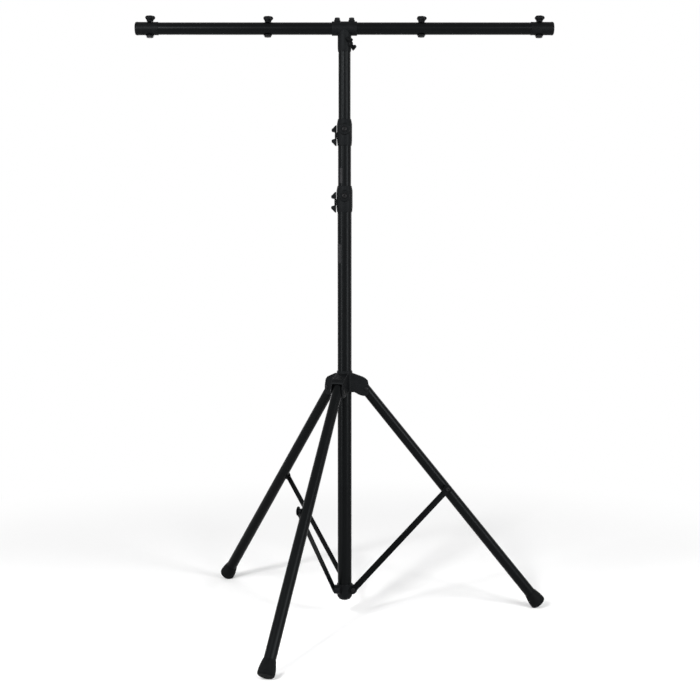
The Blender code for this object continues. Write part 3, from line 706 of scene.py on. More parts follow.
@dataclass
class Workshop:
    """Turns shapes into finished pieces that ride on the frame."""

    sharp: float = math.radians(34)
    sharp_on_castings: float = math.radians(70)
    weld: float = 0.00001
    kept_faces: float = 0.30

    def fit(
        self,
        part: str,
        shape: Shape,
        spot: Spot,
        finish: Finish,
        replaces: bool = True,
        round_by: float = 0.0,
    ) -> None:
        """Places a piece.

        Args:
            part: the end of the piece's name, after the node's.
            shape: its shape round its own origin.
            spot: what it belongs to.
            finish: its finish.
            replaces: whether it stands for the spot's node.
            round_by: how far its sharp edges are rounded.
        """
        bmesh.ops.recalc_face_normals(shape, faces=shape.faces)
        name = f"{spot.node}_{part}"
        piece = linked(name, meshed(name, shape))
        piece.data.transform(spot.where)
        self.shade(piece.data, self.sharp)
        if round_by:
            bevel = piece.modifiers.new("rounding", "BEVEL")
            bevel.width = round_by
            bevel.segments = 2
            bevel.limit_method = "ANGLE"
            bevel.angle_limit = self.sharp
            self.settle(piece, self.sharp)
        self.dress(piece, spot, finish, replaces)

    def shade(self, mesh: bpy.types.Mesh, sharp: float) -> None:
        """Shades a mesh smoothly up to its sharp edges."""
        mesh.shade_smooth()
        mesh.set_sharp_from_angle(angle=sharp)

    def settle(self, piece: bpy.types.Object, sharp: float) -> None:
        """Makes a piece's modifiers part of its mesh.

        Args:
            piece: the piece.
            sharp: the angle from which its edges stay sharp.
        """
        bpy.context.view_layer.update()
        solved = piece.evaluated_get(bpy.context.evaluated_depsgraph_get())
        mesh = bpy.data.meshes.new_from_object(solved)
        piece.modifiers.clear()
        piece.data = mesh
        self.shade(mesh, sharp)

    def dress(
        self, piece: bpy.types.Object, spot: Spot, finish: Finish, replaces: bool = True
    ) -> None:
        """Gives a piece its finish and its place on a body.

        Args:
            piece: the piece.
            spot: what it belongs to.
            finish: its finish.
            replaces: whether it stands for the spot's node.
        """
        body, node = spot.body, spot.node
        piece.data.materials.clear()
        piece.data.materials.append(finish.material())
        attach(piece, body)
        finish.slot
        if replaces:
            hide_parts(node)
        log.info("%s rides on %s", piece.name, body)

    def cast(self, node: str, body: str, grain: float, rounds: int) -> None:
        """Gives a CAD solid the rounded edges and fillets of a casting.

        Args:
            node: the CAD node.
            body: the body that carries it.
            grain: the size of the new mesh's faces.
            rounds: how often its edges are smoothed.
        """
        piece = linked(f"{node}_casting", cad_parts[node].data.copy())
        weld = piece.modifiers.new("weld", "WELD")
        weld.merge_threshold = self.weld
        self.soften(piece, grain, rounds)
        self.dress(piece, Spot(node, body, Matrix.Identity(4)), Finish.CAST)

    def soften(self, piece: bpy.types.Object, grain: float, rounds: int) -> None:
        """Melts a piece into one even mesh and smooths its edges.

        Args:
            piece: the piece.
            grain: the size of the new faces.
            rounds: how often the edges are smoothed.
        """
        remesh = piece.modifiers.new("even", "REMESH")
        remesh.mode = "VOXEL"
        remesh.voxel_size = grain
        relax = piece.modifiers.new("relax", "SMOOTH")
        relax.factor = 0.5
        relax.iterations = rounds
        thin = piece.modifiers.new("thin", "DECIMATE")
        thin.ratio = self.kept_faces
        self.settle(piece, self.sharp_on_castings)


# The stand


@dataclass
class Layout:
    """Where the mast stands in the frame."""

    axis: Vector = field(init=False)

    def __post_init__(self) -> None:
        """Takes the mast's axis from the base tube."""
        centre = self.centre("base_tube")
        self.axis = Vector((centre.x, centre.y, 0))

    def at(self, across: float, deep: float, height: float) -> Vector:
        """A point counted from the mast's foot on the floor."""
        return self.axis + Vector((across, deep, height))

    def out(self, azimuth: float, reach: float, height: float) -> Vector:
        """A point at an angle round the mast."""
        return self.axis + heading(azimuth) * reach + Vector((0, 0, height))

    def outwards(self, azimuth: float, reach: float, height: float, spin: float = 0.0) -> Matrix:
        """A place at an angle round the mast, with +Z out from it and a turn about that."""
        return pointing(self.out(azimuth, reach, height), heading(azimuth), spin)

    def centre(self, node: str) -> Vector:
        """The middle of a CAD node's box."""
        low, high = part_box(node)
        return (low + high) / 2

    def foot(self, node: str) -> Vector:
        """The middle of the lower side of a CAD node's box."""
        centre = self.centre(node)
        return Vector((centre.x, centre.y, self.low(node)))

    def low(self, node: str) -> float:
        """The height of a CAD node's lowest point."""
        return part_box(node)[0].z

    def high(self, node: str) -> float:
        """The height of a CAD node's highest point."""
        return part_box(node)[1].z


@dataclass
class Fasteners:
    """Screws, rivets, washers and the two kinds of knob."""

    layout: Layout
    shop: Workshop
    thread_radius: float = 0.004
    thread_depth: float = 0.00045
    pitch: float = 0.00125
    wing_hub: float = 0.009
    wing_hub_height: float = 0.004
    wing_thickness: float = 0.0094
    wing_span: float = 0.0305
    wing_tip: float = 0.0168
    wing_height: float = 0.0145
    wing_thinning: float = 0.34
    wing_grain: float = 0.00055
    wing_rounds: int = 5
    star_foot: float = 0.0095
    star_radius: float = 0.0132
    star_depth: float = 0.0020
    star_height: float = 0.0168
    star_insert: float = 0.0046
    rivet_head: float = 0.0065
    rivet_dome: float = 0.0024

    def shank(self, low: float, high: float, radius: float) -> list[Point]:
        """A threaded shank's profile with a chamfered point.

        Args:
            low: the point's height.
            high: the height at which the head begins.
            radius: the thread's outer radius.

        Returns:
            The profile, from the axis at the point up to the head.
        """
        core = radius - self.thread_depth
        points = [(0, low), (core - 0.0004, low), (radius - 0.0002, low + 0.0008)]
        turns = int((high - low - 0.0016) / self.pitch)
        for turn in range(turns):
            base = low + 0.0010 + turn * self.pitch
            points += [(core, base + self.pitch * 0.5), (radius, base + self.pitch)]
        return points + [(core, high)]

    def wing_outline(self, size: float) -> list[Point]:
        """The two ears seen from the side.

        Args:
            size: the ears' span, as a share of the larger screws'.

        Returns:
            The points, as (across, out of the hub).
        """
        tip, height, span = self.wing_tip * size, self.wing_height, self.wing_span * size
        half = smooth_curve(
            [
                (0, self.wing_hub_height - 0.0006), (tip * 0.40, self.wing_hub_height - 0.0004),
                (tip * 0.60, self.wing_hub_height + 0.0022), (tip - 0.0050, height - 0.0030),
                (tip - 0.0034, height - 0.0004), (tip, height), (tip + 0.0028, height - 0.0010),
                (tip + 0.0052, height - 0.0042), (span - 0.0024, 0.0052), (span, 0.0014),
                (span - 0.0010, -0.0002),
            ],
            steps=5,
        )
        return half + [(-across, out) for across, out in reversed(half[1:])]

    def wing_screw(self, spot: Spot, tip: float, size: float) -> None:
        """A moulded head with two ears on a threaded steel insert.

        Args:
            spot: what it belongs to, with the seat at z = 0, +Z outwards and the ears along X.
            tip: how far the point reaches in from the seat.
            size: the ears' span, as a share of the larger screws'.
        """
        profile = [
            (0, 0.0001), (self.wing_hub, 0.0001), (self.wing_hub, self.wing_hub_height),
            (self.wing_hub * 0.8, self.wing_hub_height + 0.0012),
            (0, self.wing_hub_height + 0.0014),
        ]
        half = self.wing_thickness / 2
        ears = prism(self.wing_outline(size), -half, half)
        bmesh.ops.recalc_face_normals(ears, faces=ears.faces)
        name = f"{spot.node}_head"
        head = linked(name, meshed(name, joined(lathe(profile, sides=40), ears)))
        self.shop.soften(head, self.wing_grain, self.wing_rounds)
        for vertex in head.data.vertices:
            reach = min(abs(vertex.co.x) / (self.wing_span * size), 1)
            vertex.co.y *= 1 - self.wing_thinning * reach**2
        head.data.transform(spot.where)
        self.shop.dress(head, spot, Finish.PLASTIC)
        stud = lathe(self.shank(-tip, 0, self.thread_radius) + [(0, 0)], sides=20)
        self.shop.fit("stud", stud, spot, Finish.SCREW, replaces=False)

    def star_knob(self, node: str, body: str) -> None:
        """A five-lobed knob with a steel insert in its open top.

        Args:
            node: the CAD node that it stands for.
            body: the body that carries it.
        """
        height, radius, depth = self.star_height, self.star_radius, self.star_depth
        profile = [
            (0, 0.0), (self.star_foot - 0.0008, 0.0), (self.star_foot, 0.0008),
            (self.star_foot, height * 0.20), (self.star_foot + 0.0004, height * 0.24),
            (lobes(radius - 0.0014, depth * 0.45), height * 0.41),
            (lobes(radius - 0.0004, depth * 0.80), height * 0.52),
            (lobes(radius, depth), height * 0.62), (lobes(radius, depth), height * 0.70),
            (lobes(radius - 0.0008, depth * 0.95), height * 0.83),
            (lobes(radius - 0.0024, depth * 0.80), height * 0.94),
            (lobes(radius - 0.0042, depth * 0.50), height), (self.star_foot * 0.70, height),
            (self.star_foot * 0.64, height - 0.0004), (self.star_foot * 0.60, height - 0.0020),
            (0, height - 0.0020),
        ]
        insert = [
            (0, height - 0.0022), (hexagon(self.star_insert), height - 0.0022),
            (hexagon(self.star_insert), height - 0.0013), (0.0034, height - 0.0008),
            (0.0026, height - 0.0008), (0.0022, height - 0.0012), (0, height - 0.0012),
        ]
        spot = Spot(node, body, Matrix.Translation(self.layout.foot(node)))
        self.shop.fit("head", lathe(profile, sides=90), spot, Finish.PLASTIC)
        self.shop.fit("insert", lathe(insert, sides=36), spot, Finish.SCREW, replaces=False)

    def domed(self, spot: Spot, radius: float, height: float) -> None:
        """A domed screw head with a hexagon socket, standing for a screw's node.

        Args:
            spot: what it belongs to, with the head's seat at z = 0 and +Z outwards.
            radius: the head's radius.
            height: the head's height.
        """
        socket = hexagon(radius * 0.42)
        profile = [
            (0, -0.0032), (self.thread_radius, -0.0032), (self.thread_radius, 0.0),
            (radius - 0.0003, 0.0), (radius, 0.0004), (radius, height * 0.30),
            *quarter((0, height * 0.30), radius, height * 0.70, steps=7, first=1, last=5),
            (radius * 0.52, height), (radius * 0.48, height), (socket, height - 0.0003),
            (socket, height * 0.45), (0, height * 0.40),
        ]
        self.shop.fit("head", lathe(profile, sides=48), spot, Finish.SCREW)

    def rivet(self, spot: Spot, half_grip: float) -> None:
        """A pin with a rolled head at each end.

        Args:
            spot: what it belongs to, with the pin along Z.
            half_grip: half the distance between its heads.
        """
        rim, dome = self.rivet_head, self.rivet_dome
        head = [
            (self.thread_radius, half_grip), (rim - 0.0003, half_grip), (rim, half_grip + 0.0004),
            *quarter((0, half_grip + 0.0004), rim, dome, steps=6, first=1, last=5),
            (0.0012, half_grip + 0.0028), (0.0009, half_grip + 0.0022), (0, half_grip + 0.0022),
        ]
        profile = [(across, -along) for across, along in reversed(head)] + head
        self.shop.fit("pin", lathe(profile, sides=40), spot, Finish.SCREW)

    def hexagon_bolt(
        self, spot: Spot, corner: float, height: float, shank: float, radius: float
    ) -> None:
        """A bolt with a chamfered hexagon head.

        Args:
            spot: what it belongs to, with the head's seat at z = 0 and the shank along +Z.
            corner: the head's radius to its corners.
            height: the head's height.
            shank: the shank's length.
            radius: the shank's radius.
        """
        sides = hexagon(corner)
        chamfer = corner * 0.90

        def flank(angle: float) -> float:
            """The hexagon's radius with its corners cut back."""
            return min(sides(angle), corner * 0.955)

        thread = self.shank(-shank, -shank * 0.5, radius)
        profile = [
            (0, -height + 0.0002), (chamfer * 0.55, -height + 0.0002), (chamfer * 0.60, -height),
            (chamfer * 0.92, -height), (flank, -height + 0.0005), (sides, -height + 0.0013),
            (sides, -0.0005), (flank, -0.0001), (chamfer * 0.94, 0.0), (radius, 0.0),
            (radius, shank * 0.5),
            *((across, -along) for across, along in reversed(thread)),
        ]
        self.shop.fit("hex", lathe(profile, sides=60), spot, Finish.SCREW)

    def washer(self, node: str, body: str, outer: float, inner: float) -> None:
        """A pressed washer with one rolled edge.

        Args:
            node: the CAD node that it stands for.
            body: the body that carries it.
            outer: its outer radius.
            inner: its hole's radius.
        """
        thick = self.layout.high(node) - self.layout.low(node)
        profile = [
            (inner, 0.0003), (inner + 0.0003, 0), (outer - 0.0001, 0), (outer, 0.0002),
            (outer, thick * 0.55), (outer - 0.0004, thick * 0.88), (outer - 0.0011, thick),
            (inner, thick),
        ]
        spot = Spot(node, body, Matrix.Translation(self.layout.foot(node)))
        self.shop.fit("ring", lathe(profile, sides=56, ring=True), spot, Finish.SCREW)


@dataclass
class Tripod:
    """Three legs on a sliding hub, with braces down to the mast's foot."""

    layout: Layout
    shop: Workshop
    fasteners: Fasteners
    names: tuple[str, ...] = ("front", "right", "left")
    first_azimuth: float = math.radians(-19.5)
    splay: float = math.radians(38.8)
    leg_top: float = 0.015
    leg_end: float = 0.0168
    leg_wall: float = 0.0015
    above_pivot: float = 0.012
    reach: float = 0.8564
    pivot_radius: float = 0.061
    boot_radius: float = 0.0236
    boot_sleeve: float = 0.034
    boot_end: float = 0.0105
    boot_rounding: float = 0.0075
    boot_grooves: tuple[float, ...] = (0.0016, 0.0040)
    groove_depth: float = 0.0007
    leg_in_boot: float = 0.004
    fork_half_width: float = 0.0186
    brace_length: float = 0.4095
    brace_width: float = 0.019
    brace_thickness: float = 0.003
    brace_eye: float = 0.013
    brace_offset: float = 0.026
    brace_along_leg: float = 0.392
    brace_pivot_radius: float = 0.020
    brace_screw_head: tuple[float, float] = (0.0065, 0.003)
    spacer_radius: float = 0.008
    lock_reach: float = 0.0350
    lock_rise: float = 0.0327
    lock_tip: float = 0.0142
    lock_size: float = 0.74
    gap: float = 0.0003

    @property
    def pivot_height(self) -> float:
        """The height of the legs' pivots."""
        return self.layout.centre("leg_rivet_front").z

    @property
    def brace_angle(self) -> float:
        """The braces' angle from upright."""
        out = self.pivot_radius + self.brace_along_leg * math.sin(self.splay)
        return math.asin((out - self.brace_pivot_radius) / self.brace_length)

    def legs(self) -> Iterator[tuple[str, Matrix]]:
        """Each leg's name, and the place of its frame, with +X out from the mast."""
        for step, name in enumerate(self.names):
            azimuth = self.first_azimuth + step * FULL_TURN / len(self.names)
            turn = Matrix.Rotation(azimuth - QUARTER_TURN, 4, "Z")
            yield name, Matrix.Translation(self.layout.axis) @ turn

    def build(self) -> None:
        """Makes the whole tripod."""
        self.shop.cast("leg_hub", "hub", grain=0.0010, rounds=4)
        self.shop.cast("mast_foot", "mast_base", grain=0.0008, rounds=4)
        for name, place in self.legs():
            self.leg(name, place)
            self.boot(name, place)
            self.brace(name, place)
        self.lock()

    def along_leg(self, place: Matrix) -> Matrix:
        """The place of a leg's pivot, with +Z up along the leg."""
        pivot = Matrix.Translation((self.pivot_radius, 0, self.pivot_height))
        return place @ pivot @ Matrix.Rotation(-self.splay, 4, "Y")

    def leg(self, name: str, place: Matrix) -> None:
        """A tapered leg tube with a plug in its top, its pivot pin and the brace's spacer.

        Args:
            name: the leg's name.
            place: the place of its frame.
        """
        spot = Spot(f"leg_{name}", f"{name}_leg", self.along_leg(place))
        end = self.leg_in_boot - self.reach
        top = self.above_pivot
        bore = self.leg_top - self.leg_wall
        tube = [
            (self.leg_end - self.leg_wall, end), (self.leg_end, end), (self.leg_top, top - 0.0004),
            (self.leg_top - 0.0004, top), (bore + 0.0003, top), (bore, top - 0.0003),
        ]
        self.shop.fit("tube", lathe(tube, sides=56, ring=True), spot, Finish.TUBE)
        plug = [
            (0, top - 0.007), (bore - 0.0004, top - 0.007), (bore - 0.0001, top - 0.006),
            (bore - 0.0001, top - 0.0014), (bore - 0.0010, top - 0.0005),
            (bore * 0.6, top - 0.0002), (0, top - 0.0001),
        ]
        self.shop.fit("plug", lathe(plug, sides=40), spot, Finish.PLASTIC, replaces=False)
        pivot = place @ Vector((self.pivot_radius, 0, self.pivot_height))
        pin = Spot(f"leg_rivet_{name}", "hub", pointing(pivot, turned(place, (0, 1, 0))))
        self.fasteners.rivet(pin, self.fork_half_width + self.gap)
        self.spacer(name, spot.where)

    def spacer(self, name: str, where: Matrix) -> None:
        """The boss on a leg that the brace bears on.

        Args:
            name: the leg's name.
            where: the place of the leg's pivot.
        """
        taper = (self.leg_end - self.leg_top) / (self.reach + self.above_pivot)
        low = self.leg_top + taper * (self.brace_along_leg + self.above_pivot + self.spacer_radius)
        high = self.brace_offset - self.brace_thickness / 2 - self.gap
        radius = self.spacer_radius
        waist, rim = radius * 0.94, 0.0008
        profile = [
            (0, low + self.gap), (radius, low + self.gap), (waist, low + 0.0022),
            *quarter((waist - rim, high - rim), rim, rim, steps=4),
            (0, high),
        ]
        foot = where @ Vector((0, 0, -self.brace_along_leg))
        place = pointing(foot, turned(where, (0, -1, 0)))
        spot = Spot(f"leg_spacer_{name}", f"{name}_leg", place)
        self.shop.fit("boss", lathe(profile, sides=40), spot, Finish.CAST)

    def boot(self, name: str, place: Matrix) -> None:
        """A bell-shaped boot with a rolled lip and ribs, worn flat where it stands.

        Args:
            name: the leg's name.
            place: the place of its frame.
        """
        centre = -self.reach
        radius, rounding = self.boot_radius, self.boot_rounding
        bore = self.leg_end + self.gap
        lip = bore + 0.0012
        flare = radius - lip
        top = centre + self.boot_sleeve
        inside = centre + self.leg_in_boot - self.gap
        side = smooth_curve(
            [
                (lip, top - 0.0012), (lip + flare * 0.16, top - self.boot_sleeve * 0.16),
                (lip + flare * 0.46, top - self.boot_sleeve * 0.36),
                (lip + flare * 0.82, top - self.boot_sleeve * 0.68), (radius, centre),
            ],
            steps=5,
        )
        profile = [(0, inside), (bore, inside), (bore, top - 0.0003), (bore + 0.0003, top)]
        profile += [(lip - 0.0002, top)] + side
        low = centre - self.boot_end
        shoulder = low + rounding
        for drop in self.boot_grooves:
            mid = centre - drop + 0.0004
            if mid - 0.0006 > shoulder:
                bottom = radius - self.groove_depth
                profile += [(radius, mid + 0.0006), (bottom, mid + 0.0002)]
                profile += [(bottom, mid - 0.0002), (radius, mid - 0.0006)]
        profile += quarter((radius - rounding, shoulder), rounding, -rounding, steps=8)
        profile += [(0.0120, low), (0.0114, low + 0.0008), (0.0094, low + 0.0008)]
        profile += [(0.0088, low), (0, low)]
        shape = lathe(profile, sides=72)
        where = self.along_leg(place)
        back = where.inverted()
        for vertex in shape.verts:
            point = where @ vertex.co
            if point.z < 0:
                point.z = 0
                vertex.co = back @ point
        spot = Spot(f"leg_boot_{name}", f"{name}_leg", where)
        self.shop.fit("skin", shape, spot, Finish.RUBBER)

    def brace(self, name: str, place: Matrix) -> None:
        """A pressed strip with round ends, and its two screws.

        Args:
            name: the leg's name.
            place: the place of its frame.
        """
        half = self.brace_thickness / 2
        width = self.brace_width / 2
        neck = math.acos(width / self.brace_eye)
        ends = (
            (0, width, math.pi, math.pi),
            (self.brace_length, self.brace_eye, -neck, math.pi + 2 * neck),
        )
        outline = []
        steps = 22
        for centre, radius, start, sweep in ends:
            for step in range(steps + 1):
                angle = start + sweep * step / steps
                outline.append((radius * math.cos(angle), centre + radius * math.sin(angle)))
        low = self.layout.centre("brace_screw_lower_front").z
        pivot = Matrix.Translation((self.brace_pivot_radius, -self.brace_offset, low))
        where = place @ pivot @ Matrix.Rotation(self.brace_angle, 4, "Y")
        spot = Spot(f"brace_{name}", f"{name}_brace", where)
        self.shop.fit("strip", prism(outline, -half, half), spot, Finish.STRIP, round_by=0.0007)
        outside = turned(where, (0, -1, 0))
        screws = (("upper", self.brace_length, spot.body), ("lower", 0, "mast_base"))
        for end, height, carrier in screws:
            seat = pointing(where @ Vector((0, -half - self.gap, height)), outside)
            screw = Spot(f"brace_screw_{end}_{name}", carrier, seat)
            self.fasteners.domed(screw, *self.brace_screw_head)

    def lock(self) -> None:
        """The wing screw at the back of the hub."""
        height = self.pivot_height + self.lock_rise
        azimuth = self.first_azimuth + math.pi
        where = self.layout.outwards(azimuth, self.lock_reach, height, QUARTER_TURN)
        spot = Spot("leg_hub_knob", "hub_screw", where)
        self.fasteners.wing_screw(spot, self.lock_tip, self.lock_size)


@dataclass(frozen=True)
class Tube:
    """One tube of the mast."""

    node: str
    body: str
    radius: float
    finish: Finish


@dataclass
class Mast:
    """Three telescoping tubes with their clamping collars."""

    layout: Layout
    shop: Workshop
    fasteners: Fasteners
    base: Tube = Tube("base_tube", "mast_base", 0.0205, Finish.TUBE)
    mid: Tube = Tube("mid_tube", "mid_section", 0.019, Finish.SLIDING)
    top: Tube = Tube("top_tube", "top_section", 0.0175, Finish.SLIDING)
    wall: float = 0.0012
    edge: float = 0.0003
    collar_radius_over_tube: float = 0.0030
    knob_height: float = 0.0285
    knob_boss: float = 0.0009
    knob_tip: float = 0.0060
    bolt_height: float = 0.0465
    bolt_pad: float = 0.0038
    bolt_head: tuple[float, float] = (0.0075, 0.004)
    wing_tilt: float = math.radians(12)
    label_corner: float = 0.0022
    label_lift: float = 0.00005
    label_thickness: float = 0.00012

    def build(self) -> None:
        """Makes the mast."""
        for tube in (self.base, self.mid, self.top):
            self.tube(tube)
        for node in ("mid_tube_bush", "top_tube_bush"):
            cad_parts[node].data.materials.clear()
            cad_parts[node].data.materials.append(Finish.PLASTIC.material())
        self.collar("collar_lower", self.base)
        self.collar("collar_upper", self.mid)
        # Blank stickers whose pale grey is a painted highlight.
        self.label("base", self.base, angles=(-84, -33), heights=(1.0548, 1.1098))
        self.label("mid", self.mid, angles=(-47, -20), heights=(1.2853, 1.3293))

    def tube(self, tube: Tube) -> None:
        """A drawn tube with broken edges.

        Args:
            tube: the tube.
        """
        low, high = self.layout.low(tube.node), self.layout.high(tube.node)
        outer = tube.radius
        inner = outer - self.wall
        profile = [
            (inner, low), (outer - self.edge, low), (outer, low + self.edge),
            (outer, high - self.edge), (outer - self.edge, high), (inner, high),
        ]
        spot = Spot(tube.node, tube.body, Matrix.Translation(self.layout.axis))
        self.shop.fit("drawn", lathe(profile, sides=72, ring=True), spot, tube.finish)

    def collar(self, node: str, tube: Tube) -> None:
        """A cast clamping collar with its domed bolt and wing screw.

        Args:
            node: the collar's CAD node.
            tube: the tube that it sits on.
        """
        self.shop.cast(node, tube.body, grain=0.0007, rounds=3)
        low = self.layout.low(node)
        radius = tube.radius + self.collar_radius_over_tube
        seat = self.layout.outwards(0, radius + self.bolt_pad, low + self.bolt_height)
        self.fasteners.domed(Spot(f"{node}_bolt", tube.body, seat), *self.bolt_head)
        reach, spin = radius + self.knob_boss, QUARTER_TURN + self.wing_tilt
        seat = self.layout.outwards(-QUARTER_TURN, reach, low + self.knob_height, spin)
        screw = Spot(f"{node}_knob", f"{node}_screw", seat)
        self.fasteners.wing_screw(screw, self.knob_tip, 1)

    def label(
        self, name: str, tube: Tube, angles: tuple[float, float], heights: tuple[float, float]
    ) -> None:
        """A blank sticker bent round a tube, its pale grey a painted highlight.

        Args:
            name: the start of the sticker's name.
            tube: the tube that it is on.
            angles: its edges' azimuths in degrees.
            heights: its lower and upper edges.
        """
        outer, corner = tube.radius, self.label_corner
        start, end = (math.radians(angle) for angle in angles)
        low, high = heights
        columns, rows = 14, 18
        width = (end - start) * outer
        shape = bmesh.new()
        grid = []
        for row in range(rows + 1):
            height = low + (high - low) * row / rows
            spare = max(corner - (height - low), corner - (high - height), 0)
            inset = corner - math.sqrt(max(corner**2 - spare**2, 0))
            line = []
            for column in range(columns + 1):
                arc = inset + (width - 2 * inset) * column / columns
                spot = self.layout.out(start + arc / outer, outer + self.label_lift, height)
                line.append(shape.verts.new(spot))
            grid.append(line)
        for one, other in zip(grid, grid[1:]):
            for column in range(columns):
                shape.faces.new((one[column], one[column + 1], other[column + 1], other[column]))
        bmesh.ops.recalc_face_normals(shape, faces=shape.faces)
        bmesh.ops.solidify(shape, geom=shape.faces[:], thickness=-self.label_thickness)
        spot = Spot(name, tube.body, Matrix.Identity(4))
        self.shop.fit("label", shape, spot, Finish.LABEL_WITH_HIGHLIGHT, replaces=False)


@dataclass
class TeeBar:
    """The tee on the mast with its two arms, end caps and lamp bolts."""

    layout: Layout
    shop: Workshop
    fasteners: Fasteners
    radius: float = 0.0175
    wall: float = 0.0015
    edge: float = 0.0003
    half_gap: float = 0.001
    half_span: float = 0.600
    cap_wall: float = 0.0013
    cap_length: float = 0.066
    cap_end: float = 0.003
    cap_edge: float = 0.005
    gap: float = 0.0003
    knob_azimuth: float = math.radians(50)
    knob_tilt: float = math.radians(42)
    knob_reach: float = 0.0207
    knob_drop: float = 0.0445
    knob_tip: float = 0.0036
    knob_size: float = 0.74
    clamp_head: tuple[float, float] = (0.0075, 0.0055)
    clamp_shank: float = 0.0073
    clamp_radius: float = 0.004
    lamp_head: tuple[float, float] = (0.0098, 0.0046)
    lamp_radius: float = 0.005
    washer_outer: float = 0.01226
    washer_inner: float = 0.0053
    inner_offset: float = 0.220
    outer_offset: float = 0.558

    @property
    def height(self) -> float:
        """The height of the bar's axis."""
        return self.layout.centre("bar_cap_left").z

    def build(self) -> None:
        """Makes the tee, its screws and both arms."""
        self.shop.cast("tee", "head", grain=0.0007, rounds=3)
        height, spin = self.height - self.knob_drop, QUARTER_TURN + self.knob_tilt
        where = self.layout.outwards(self.knob_azimuth, self.knob_reach, height, spin)
        knob = Spot("tee_knob", "head_screw", where)
        self.fasteners.wing_screw(knob, self.knob_tip, self.knob_size)
        for side, sign in (("left", -1), ("right", 1)):
            self.clamp_screw(side)
            self.arm(side, sign)
            self.lamp_bolt(side, "inner", sign * self.inner_offset)
            self.lamp_bolt(side, "outer", sign * self.outer_offset)

    def clamp_screw(self, side: str) -> None:
        """The hexagon screw that holds one arm in the tee.

        Args:
            side: left or right.
        """
        node = f"bar_screw_{side}"
        seat = self.layout.centre(node)
        seat.z = self.layout.high(node) - self.clamp_head[1]
        spot = Spot(node, f"{side}_bar_screw", pointing(seat, Vector((0, 0, -1))))
        self.fasteners.hexagon_bolt(spot, *self.clamp_head, self.clamp_shank, self.clamp_radius)

    def arm(self, side: str, sign: int) -> None:
        """One arm's tube and its moulded end cap.

        Args:
            side: left or right.
            sign: -1 or 1, the way that the arm points along X.
        """
        body = f"{side}_arm"
        where = pointing(self.layout.at(0, 0, self.height), Vector((sign, 0, 0)))
        start, span = self.half_gap, self.half_span
        end = span - self.cap_end - self.gap
        inner = self.radius - self.wall
        tube = [
            (inner, start), (self.radius - self.edge, start), (self.radius, start + self.edge),
            (self.radius, end), (inner, end),
        ]
        pipe = lathe(tube, sides=72, ring=True)
        self.shop.fit("drawn", pipe, Spot(f"bar_{side}", body, where), Finish.TUBE)
        bore = self.radius + self.gap
        outer = bore + self.cap_wall
        mouth = span - self.cap_length
        edge = self.cap_edge
        cap = [
            (0, end + self.gap), (bore, end + self.gap), (bore, mouth + 0.0003),
            (bore + 0.0003, mouth), (outer - 0.0004, mouth), (outer, mouth + 0.0005),
            (outer, mouth + 0.0030), (outer - 0.0004, mouth + 0.0035),
            (outer - 0.0004, span - 0.0085), (outer, span - 0.0080), (outer, span - edge),
            *quarter((outer - edge, span - edge), edge, edge, steps=8, first=1),
            (outer * 0.52, span), (outer * 0.49, span - 0.0006), (0, span - 0.0006),
        ]
        spot = Spot(f"bar_cap_{side}", body, where)
        self.shop.fit("shell", lathe(cap, sides=72), spot, Finish.PLASTIC)

    def lamp_bolt(self, side: str, place: str, offset: float) -> None:
        """A bolt through an arm with its washer and star knob.

        Args:
            side: left or right.
            place: inner or outer.
            offset: its distance along X from the mast.
        """
        name, body = f"{side}_{place}", f"{side}_arm"
        self.fasteners.washer(f"lamp_washer_{name}", body, self.washer_outer, self.washer_inner)
        node = f"lamp_bolt_{name}"
        seat = self.layout.at(offset, 0, self.layout.low(node) + self.lamp_head[1])
        shank = self.layout.high(node) - seat.z
        spot = Spot(node, body, pointing(seat, Vector((0, 0, 1))))
        self.fasteners.hexagon_bolt(spot, *self.lamp_head, shank, self.lamp_radius)
        self.fasteners.star_knob(f"star_knob_{name}", f"{name}_star")


@dataclass
class Lamp:
    """A soft box that faces the stand. Its azimuth is in degrees."""

    name: str
    azimuth: float
    distance: float
    height: float
    width: float
    tall: float
    power: float
    aim_height: float = 0.95

    def build(self, layout: Layout) -> None:
        """Hangs the lamp.

        Args:
            layout: the stand's place.
        """
        light = bpy.data.lights.new(self.name, "AREA")
        light.shape = "RECTANGLE"
        light.size = self.width
        light.size_y = self.tall
        light.energy = self.power
        lamp = linked(self.name, light)
        lamp.location = layout.out(math.radians(self.azimuth), self.distance, self.height)
        aim = layout.at(0, 0, self.aim_height) - lamp.location
        lamp.rotation_euler = aim.to_track_quat("-Z", "Y").to_euler()


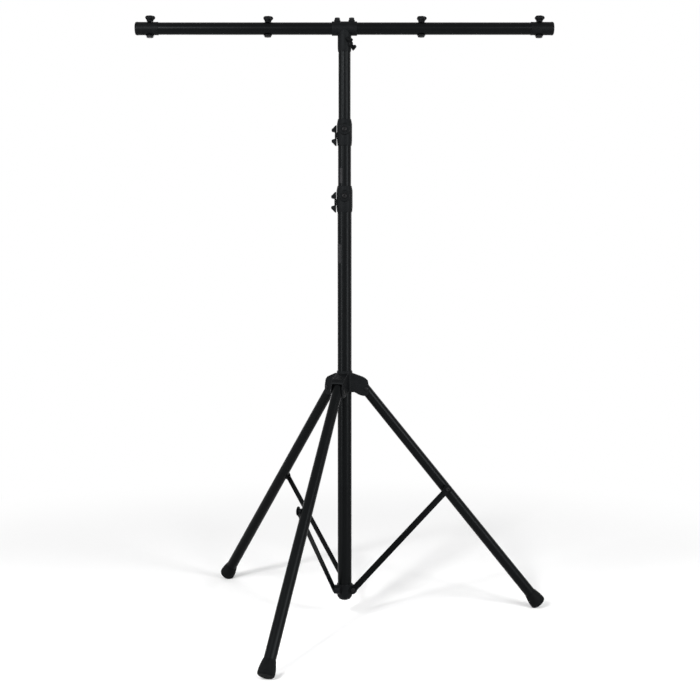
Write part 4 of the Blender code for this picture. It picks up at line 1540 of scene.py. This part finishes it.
@dataclass
class Studio:
    """Floor, light and camera."""

    layout: Layout
    lamps: tuple[Lamp, ...] = (
        Lamp("right_softbox", 50, 3.0, 1.35, 1.1, 2.4, 90),
        Lamp("left_softbox", -52, 3.0, 1.35, 0.6, 2.4, 70),
        Lamp("left_strip", -24, 3.2, 2.36, 0.4, 0.4, 78),
        Lamp("right_strip", 24, 3.2, 2.36, 0.4, 0.4, 24),
        Lamp("back_right_softbox", 142, 3.2, 1.35, 0.8, 2.4, 15),
        Lamp("back_left_softbox", -158, 3.2, 1.35, 0.8, 2.4, 15),
    )
    fill: float = 0.37
    floor_colour: Colour = (0.92, 0.92, 0.92)
    floor_reach: float = 9.0
    floor_drop: float = 0.0005
    fade: tuple[float, float] = (0.85, 2.3)
    lens: float = 70.52
    sensor: float = 36
    camera_side: float = 0.0158
    camera_back: float = 4.0
    camera_height: float = 1.1726
    camera_dip: float = math.radians(5.313)

    def build(self) -> None:
        """Sets up the studio."""
        self.floor()
        self.world()
        for lamp in self.lamps:
            lamp.build(self.layout)
        self.camera()
        bpy.context.scene.view_settings.view_transform = "Standard"

    def floor(self) -> None:
        """A pale floor that fades into the white round it."""
        shape = bmesh.new()
        bmesh.ops.create_grid(shape, x_segments=2, y_segments=2, size=self.floor_reach)
        floor = linked("floor", meshed("floor", shape))
        floor.location = self.layout.at(0, 0, -self.floor_drop)
        paint = Painter("pale_floor")
        paint.set(Base_Color=self.floor_colour, Roughness=0.9, Specular_IOR_Level=0.0)
        length = {"operation": "LENGTH"}
        far = paint.signal("ShaderNodeVectorMath", "Value", length, {0: paint.place})
        white = paint.add("ShaderNodeEmission", None, {"Color": (1, 1, 1), "Strength": 1.0})
        layers = {0: far.rise(*self.fade) * paint.seen()}
        layers |= {1: paint.shader.outputs[0], 2: white.outputs[0]}
        mixed = paint.add("ShaderNodeMixShader", None, layers)
        paint.feed(paint.tree.nodes["Material Output"].inputs["Surface"], mixed.outputs[0])
        floor.data.materials.append(paint.material)

    def world(self) -> None:
        """White where it is seen or mirrored, and an even fill elsewhere."""
        world = bpy.data.worlds.new("studio")
        bpy.context.scene.world = world
        world.use_nodes = True
        nodes = Nodes(world.node_tree)
        nodes.tree.nodes.clear()
        limits = {"Value": nodes.seen(), "To Min": self.fill, "To Max": 1.0}
        light = nodes.signal("ShaderNodeMapRange", "Result", None, limits)
        sky = nodes.add("ShaderNodeBackground", None, {"Color": (1, 1, 1), "Strength": light})
        nodes.add("ShaderNodeOutputWorld", None, {"Surface": sky.outputs[0]})

    def camera(self) -> None:
        """The camera at the photograph's angle."""
        lens = bpy.data.cameras.new("camera")
        lens.lens = self.lens
        lens.sensor_width = self.sensor
        camera = linked("camera", lens)
        camera.location = self.layout.at(self.camera_side, -self.camera_back, self.camera_height)
        camera.rotation_euler = (QUARTER_TURN - self.camera_dip, 0, 0)
        bpy.context.scene.camera = camera


def main() -> None:
    """Builds the stand and the studio."""
    logging.basicConfig(level=logging.INFO, format="%(message)s")
    layout = Layout()
    shop = Workshop()
    fasteners = Fasteners(layout, shop)
    Tripod(layout, shop, fasteners).build()
    Mast(layout, shop, fasteners).build()
    TeeBar(layout, shop, fasteners).build()
    Studio(layout).build()


if __name__ == "__main__":
    main()
